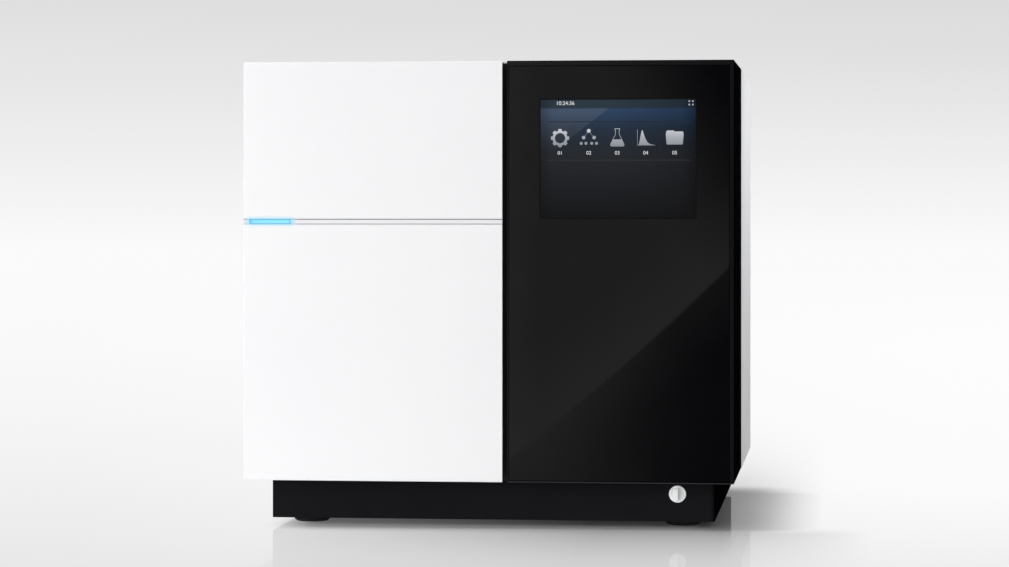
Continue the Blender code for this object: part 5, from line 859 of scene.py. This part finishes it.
# Hairlines: a light one under the band, and dark ones above it, between its fields and under the slate bar.
light_lines = [stroke([(7.2, 62.8), (154.4, 62.8)], 0.6)]
dark_lines = [stroke([(7.2, 23.2), (154.4, 23.2)], 0.9), stroke([(1.0, 9.2), (160.0, 9.2)], 0.6)]
dark_lines += [stroke([(x, 24.5), (x, 61.5)], 0.4) for x in (35.4, 65.0, 94.3, 123.8)]
for name, lines, pixels, dark, bright in (
    ("screen_light_lines", light_lines, "dim_grey_pixels", "282C31", "2C3138"),
    ("screen_dark_lines", dark_lines, "dark_blue_pixels", "161D28", "1B2431"),
):
    solid(name, lines, lit_pixels(pixels, "060708", 0.2, 0.02, dark, bright), "cabinet")

# Four small squares in the page's corner.
half = 0.8
squares = []
for x in (153.7, 157.3):
    for y in (2.4, 5.9):
        left, right = x - half, x + half
        squares.append(
            (slab([(left, y - half), (left, y + half)], [(right, y - half), (right, y + half)]), False)
        )
corner_grey = lit_pixels("mid_grey_pixels", "060708", 0.2, 0.02, "9CA0A6", "B2B6BC")
solid("screen_squares", squares, corner_grey, "cabinet")


# Injection port
# A grey ABS sleeve under the top cover, a white lift-off cover of the same plastic, and the head with its
# floor plate and the septum nut in stainless steel.
def moulded(name, colour, drifted, rough):
    """Moulded plastic: a colour that drifts a little with the flow of the melt, and a 0.9 mm texture."""
    texture = (0.0009, 2.0, 0.2, 0.00004)
    return mottled(name, 0.03, colour, drifted, rough, texture, {"IOR": 1.53}, places=(0.0, 1.0))


grey_abs = moulded("moulded_grey_abs", "8E9296", "868A8E", 0.45)
white_abs = moulded("moulded_white_abs", "EEEFF0", "E6E8EA", 0.38)
dress(grey_abs, "port_well")
dress(white_abs, "port_cover", "dryer_cap_upper", "dryer_cap_lower")


# Furnace and combustion tube
# A casing of brushed stainless sheet with louvres, tinted straw in the middle by heat, a core of sintered
# alumina, and a tube of clear fused quartz. The tube holds plugs of quartz wool and layers of copper oxide
# wire and silver wool.
casing_low, casing_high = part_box("furnace_casing")
casing_middle = middle_of(casing_low, casing_high)
casing_half = [(b - a) / 2 for a, b in zip(casing_low, casing_high)]
hot_steel, add, place = start_material("heat_tinted_stainless_sheet")
stretched = add("Mapping", {"Vector": place, "Scale": (1200.0, 1200.0, 30.0)})
brushing = add("TexNoise", {"Vector": stretched, "Scale": 1.0})
steel = add("ValToRGB", [brushing], stops=[(0.3, "C4C5C6"), (0.7, "CBCCCD")])
centred = add("Mapping", {"Vector": place, "Location": [-v for v in casing_middle]})
hot_spot = (1 / casing_half[0], 0.0, 1 / casing_half[2])
reach = add("VectorMath", [centred, hot_spot], "MULTIPLY")
reach = add("VectorMath", [reach], "LENGTH")
drift = add("TexNoise", {"Vector": place, "Scale": 1 / 0.03})
uneven = add("Math", [drift, 0.5, reach], "MULTIPLY_ADD")
straw = add("MapRange", [uneven, 0.45, 1.25, 0.65, 0.0], "SMOOTHSTEP")
tint = add("Mix", [straw, steel, "CDB88C"], "RGBA")
sheen = add("MapRange", [brushing, 0.3, 0.7, 0.33, 0.37])
x, y, z = add("SeparateXYZ", [centred]).outputs
sideways = add("Math", [x], "ABSOLUTE")
in_slots = add("Math", [sideways, 0.0405], "LESS_THAN")
depth = add("Math", [y, casing_half[1]], "ADD")
behind_face = add("MapRange", [depth, 0.0002, 0.001])
level = add("Math", [z], "ABSOLUTE")
in_face = add("Math", [level, casing_half[2] - 0.005], "LESS_THAN")
in_slots = add("Math", [in_slots, in_face], "MULTIPLY")
slot_shade = add("Math", [in_slots, behind_face], "MULTIPLY")
tint = add("Mix", [slot_shade, tint, "3B3733"], "RGBA")
surface = add("BsdfPrincipled", {"Base Color": tint, "Metallic": 1.0, "Roughness": sheen})
add("OutputMaterial", [surface])
dress(hot_steel, "furnace_casing")
levels = (casing_low[2] + 0.012, casing_middle[2], casing_high[2] - 0.012)
places = [(x, z) for x in (casing_low[0] + 0.009, casing_high[0] - 0.009) for z in levels]
screws = face_screws(places, casing_low[1] + 0.0002, -1, radius=0.003, head=0.0018)
solid("furnace_screws", screws, zinc, "cabinet")

grit = (0.0012, 4.0, 0.4, 0.0001)
alumina = mottled(
    "sintered_alumina", patch=0.0012, dark="E3DCCB", light="F1ECE0", rough=0.75, relief=grit, detail=4.0
)
dress(alumina, "heater_core")

along, clear = (300.0, 300.0, 12.0), {"Metallic": 0.0, "IOR": 1.46, "Transmission Weight": 0.92}
quartz = drawn("clear_fused_quartz", along, "F4F8F8", "F4F8F8", 0.02, 0.09, more=clear)
dress(quartz, "combustion_tube", "outlet_joint")

tube_x, tube_y, _ = middle_of(*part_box("combustion_tube"))
packing_radius = 0.0103


def packing(name, bottom, top, light, dark, grain, relief_depth, metallic=0.0):
    """A plug in the tube, from bottom to top: a turned profile with rounded ends, and a surface of fibres or
    grains of the given size, taken from cells of a Voronoi pattern."""
    material, add, place = start_material(name)
    cells = add("TexVoronoi", {"Vector": place, "Scale": 1 / grain})
    tint = add("ValToRGB", [cells], stops=[(0.1, light), (0.8, dark)])
    relief = add("Bump", {"Strength": 0.8, "Distance": relief_depth, "Height": cells})
    surface = add("BsdfPrincipled", {
        "Base Color": tint, "Metallic": metallic, "Roughness": 0.6, "Normal": relief,
    })
    add("OutputMaterial", [surface])
    turn = np.linspace(0, math.pi / 2, 5)
    crown = 0.0012
    lower = [(packing_radius - crown * (1 - math.sin(a)), bottom + crown * (1 - math.cos(a))) for a in turn]
    upper = [(packing_radius - crown * (1 - math.cos(a)), top - crown * (1 - math.sin(a))) for a in turn]
    profile = [(0, bottom), *lower, *upper, (0, top)]
    return solid(name, [(turned(profile, (tube_x, tube_y, 0), (0, 0, 1), 32), False)], material, "cabinet")


packing("quartz_wool_lower", 0.156, 0.175, "F3F4F2", "C9CCC8", 0.0012, 0.0003)
packing("silver_wool", 0.1752, 0.196, "D9DADB", "77797B", 0.001, 0.0003, 0.9)
packing("copper_oxide_wire", 0.1962, 0.32, "2A2422", "0C0A0A", 0.0016, 0.0004)
packing("quartz_wool_upper", 0.3202, 0.342, "F3F4F2", "C9CCC8", 0.0012, 0.0003)


# Tubes and dryer
# The transfer tube is white fluoropolymer. The dryer is a clear acrylic cartridge packed with white grains
# that turn blue-grey where they are spent, with white moulded caps.
fluoropolymer = moulded("extruded_white_fluoropolymer", "ECEDEC", "E2E4E3", 0.32)
dress(fluoropolymer, "transfer_tube", "dryer_outlet_tube")

granules, add, place = start_material("packed_drying_grains_in_acrylic")
cells = add("TexVoronoi", {"Vector": place, "Scale": 1 / 0.0026})
grain_tone = add("ValToRGB", [cells], stops=[(0.15, "F0F1EE"), (0.75, "8F9494")])
z = add("SeparateXYZ", [place]).outputs["Z"]
used = add("MapRange", [z, 0.235, 0.215], "SMOOTHSTEP")
spent_tone = add("ValToRGB", [cells], stops=[(0.15, "9FB2C4"), (0.75, "4E5F70")])
tint = add("Mix", [used, grain_tone, spent_tone], "RGBA")
relief = add("Bump", {"Strength": 0.5, "Distance": 0.0003, "Height": cells}, invert=True)
surface = add("BsdfPrincipled", {
    "Base Color": tint, "Roughness": 0.6, "Coat Weight": 0.9, "Coat Roughness": 0.04, "Normal": relief,
})
add("OutputMaterial", [surface])
dress(granules, "dryer_body")


# Circuit boards
# Glass-epoxy laminate with green solder mask; copper traces show as slightly lighter lines under the mask.
laminate_green, add, place = start_material("green_glass_epoxy_board")
upright = add("Mapping", {"Vector": place, "Rotation": (math.radians(90), 0.0, math.radians(90))})
traces = add("TexBrick", {
    "Vector": upright, "Scale": 1.0, "Mortar Size": 0.0003, "Brick Width": 0.011, "Row Height": 0.0025,
})
tint = add("Mix", [traces.outputs["Fac"], "1E5B38", "2F7A4C"], "RGBA")
relief = add("Bump", {"Strength": 0.3, "Distance": 0.00004, "Height": traces.outputs["Fac"]})
surface = add("BsdfPrincipled", {"Base Color": tint, "Roughness": 0.35, "Normal": relief})
add("OutputMaterial", [surface])
dress(laminate_green, "main_board", "status_light_board")


# Fan guard
# Steel wire rings welded to crossed bars, nickel plated, held by four screws into the fan frame's corners.
# The guard takes the pearl chrome, whose weak glow is a painted reflection.
dress(chrome, "fan_guard")
fan_x, _, fan_z = middle_of(*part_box("fan_frame"))
panel_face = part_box("rear_panel")[1][1]
hole_offset = 0.0385
places = [(fan_x + i * hole_offset, fan_z + j * hole_offset) for i in (-1, 1) for j in (-1, 1)]
solid("fan_screws", face_screws(places, panel_face, 1, radius=0.0036, head=0.0022), zinc, "cabinet")


# Sockets and fittings at the back
# The mains inlet is moulded black ABS with a rocker switch marked I and O. The data sockets are plated steel
# shells. The gas fittings are turned from brass bar, and plain numbers are printed above them.
dress(zinc, "data_ports")
around, coarser = (80.0, 2500.0, 80.0), (0.15, 0.00003)
brass = drawn("turned_brass", around, "C79F4E", "DDBB6C", 0.22, 0.36, coarser)
dress(brass, "gas_inlet_left", "gas_inlet_right", "exhaust_outlet")


def strip(path, across, width, thickness):
    """A flat bar along a path: each row is the path's point moved half the width across, both ways, and half
    the thickness along the normal, which is the cross product of across and the path's direction."""
    path, across = np.asarray(path, float), np.asarray(across, float)
    normal = np.cross(across, np.gradient(path, axis=0))
    normal /= np.linalg.norm(normal, axis=1, keepdims=True)
    side, lift = across * width / 2, normal * thickness / 2
    rows = [path - side - lift, path + side - lift, path + side + lift, path - side + lift]
    return np.stack(rows, axis=1), False


# Bright steel sleeves over the three pins of the mains inlet. Each is a square bar that narrows at its end.
inlet_low, inlet_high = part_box("mains_inlet")
inlet_x, _, inlet_z = middle_of(inlet_low, inlet_high)
inlet_face = inlet_high[1]
socket_drop, socket_depth, pin_length, pin_point = 0.02, 0.016, 0.0132, 0.001
pin_corners = np.array(
    [(-0.0011, 0, -0.0021), (0.0011, 0, -0.0021), (0.0011, 0, 0.0021), (-0.0011, 0, 0.0021)]
)
pins = []
for across, lift in ((-0.007, 0.001), (0.0, 0.004), (0.007, 0.001)):
    root = np.array([inlet_x + across, inlet_face - socket_depth, inlet_z - socket_drop + lift])
    rows = [
        root + (0, out, 0) + share * pin_corners
        for out, share in ((0.0, 1.0), (pin_length - pin_point, 1.0), (pin_length, 0.6))
    ]
    pins.append((np.array(rows), False))
solid("inlet_pins", pins, stainless, "cabinet")

# Eight gold plated springs slant down into the network socket. Each serial socket has a black tongue with
# four contacts.
ports_low, ports_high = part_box("data_ports")
ports_x, _, ports_z = middle_of(ports_low, ports_high)
ports_face, ports_width = ports_high[1], 0.062
network_share, serial_shares = -0.31, (0.02, 0.33)
spring_pitch, contact_pitch = 0.00102, 0.0024
spring_path = np.array([(0, -0.0125, 0.003), (0, -0.003, 0.003), (0, -0.0022, 0.0024), (0, -0.009, -0.001)])
tongue_path = np.array([(0, -0.0128, 0.0009), (0, -0.002, 0.0009)])
contact_path = np.array([(0, -0.012, -0.0001), (0, -0.0026, -0.0001)])
springs = []
for count in range(8):
    root = (ports_x + network_share * ports_width + (count - 3.5) * spring_pitch, ports_face, ports_z)
    springs.append(strip(spring_path + root, (1, 0, 0), 0.00045, 0.00025))
tongues = []
for share in serial_shares:
    x = ports_x + share * ports_width
    tongues.append(strip(tongue_path + (x, ports_face, ports_z), (1, 0, 0), 0.011, 0.0018))
    for count in range(4):
        root = (x + (count - 1.5) * contact_pitch, ports_face, ports_z)
        springs.append(strip(contact_path + root, (1, 0, 0), 0.0011, 0.00025))
solid("port_contacts", springs, brass, "cabinet")
solid("serial_tongues", tongues, abs_black, "cabinet")

# Screen printing ink, dark grey with a slightly uneven lay.
ink = mottled("dark_grey_screen_ink", patch=0.001, dark="2E3033", light="3A3C40", rough=0.6)
from_behind = ((-1, 0, 0), (0, 0, 1))
numbers = []
for number, name in enumerate(("gas_inlet_left", "gas_inlet_right", "exhaust_outlet"), start=1):
    low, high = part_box(name)
    x, _, _ = middle_of(low, high)
    numbers.append((str(number), 0.008, (x, panel_face, high[2] + 0.008), *from_behind))
lettered("fitting_numbers", numbers, ink, "cabinet")

# I and O pad printed in white on the rocker's two faces.
white_ink = mottled("white_pad_ink", patch=0.0008, dark="DEDEDC", light="ECECEA", rough=0.55)
axis_y, axis_z = inlet_face - 0.005, inlet_z + 0.0165
tilt, spread, tip_radius, dish_radius = math.radians(9), math.radians(50), 0.0105, 0.007
ends = [
    np.array([axis_y + r * math.cos(a + tilt), axis_z + r * math.sin(a + tilt)])
    for r, a in ((tip_radius, -spread), (dish_radius, 0.0), (tip_radius, spread))
]
rocker_marks = []
for text, below, above in (("O", ends[0], ends[1]), ("I", ends[1], ends[2])):
    middle = (below + above) / 2
    rise = above - below
    rocker_marks.append((text, 0.0048, (inlet_x, *middle), (-1, 0, 0), (0, *rise)))
lettered("rocker_marks", rocker_marks, white_ink, "mains_rocker")
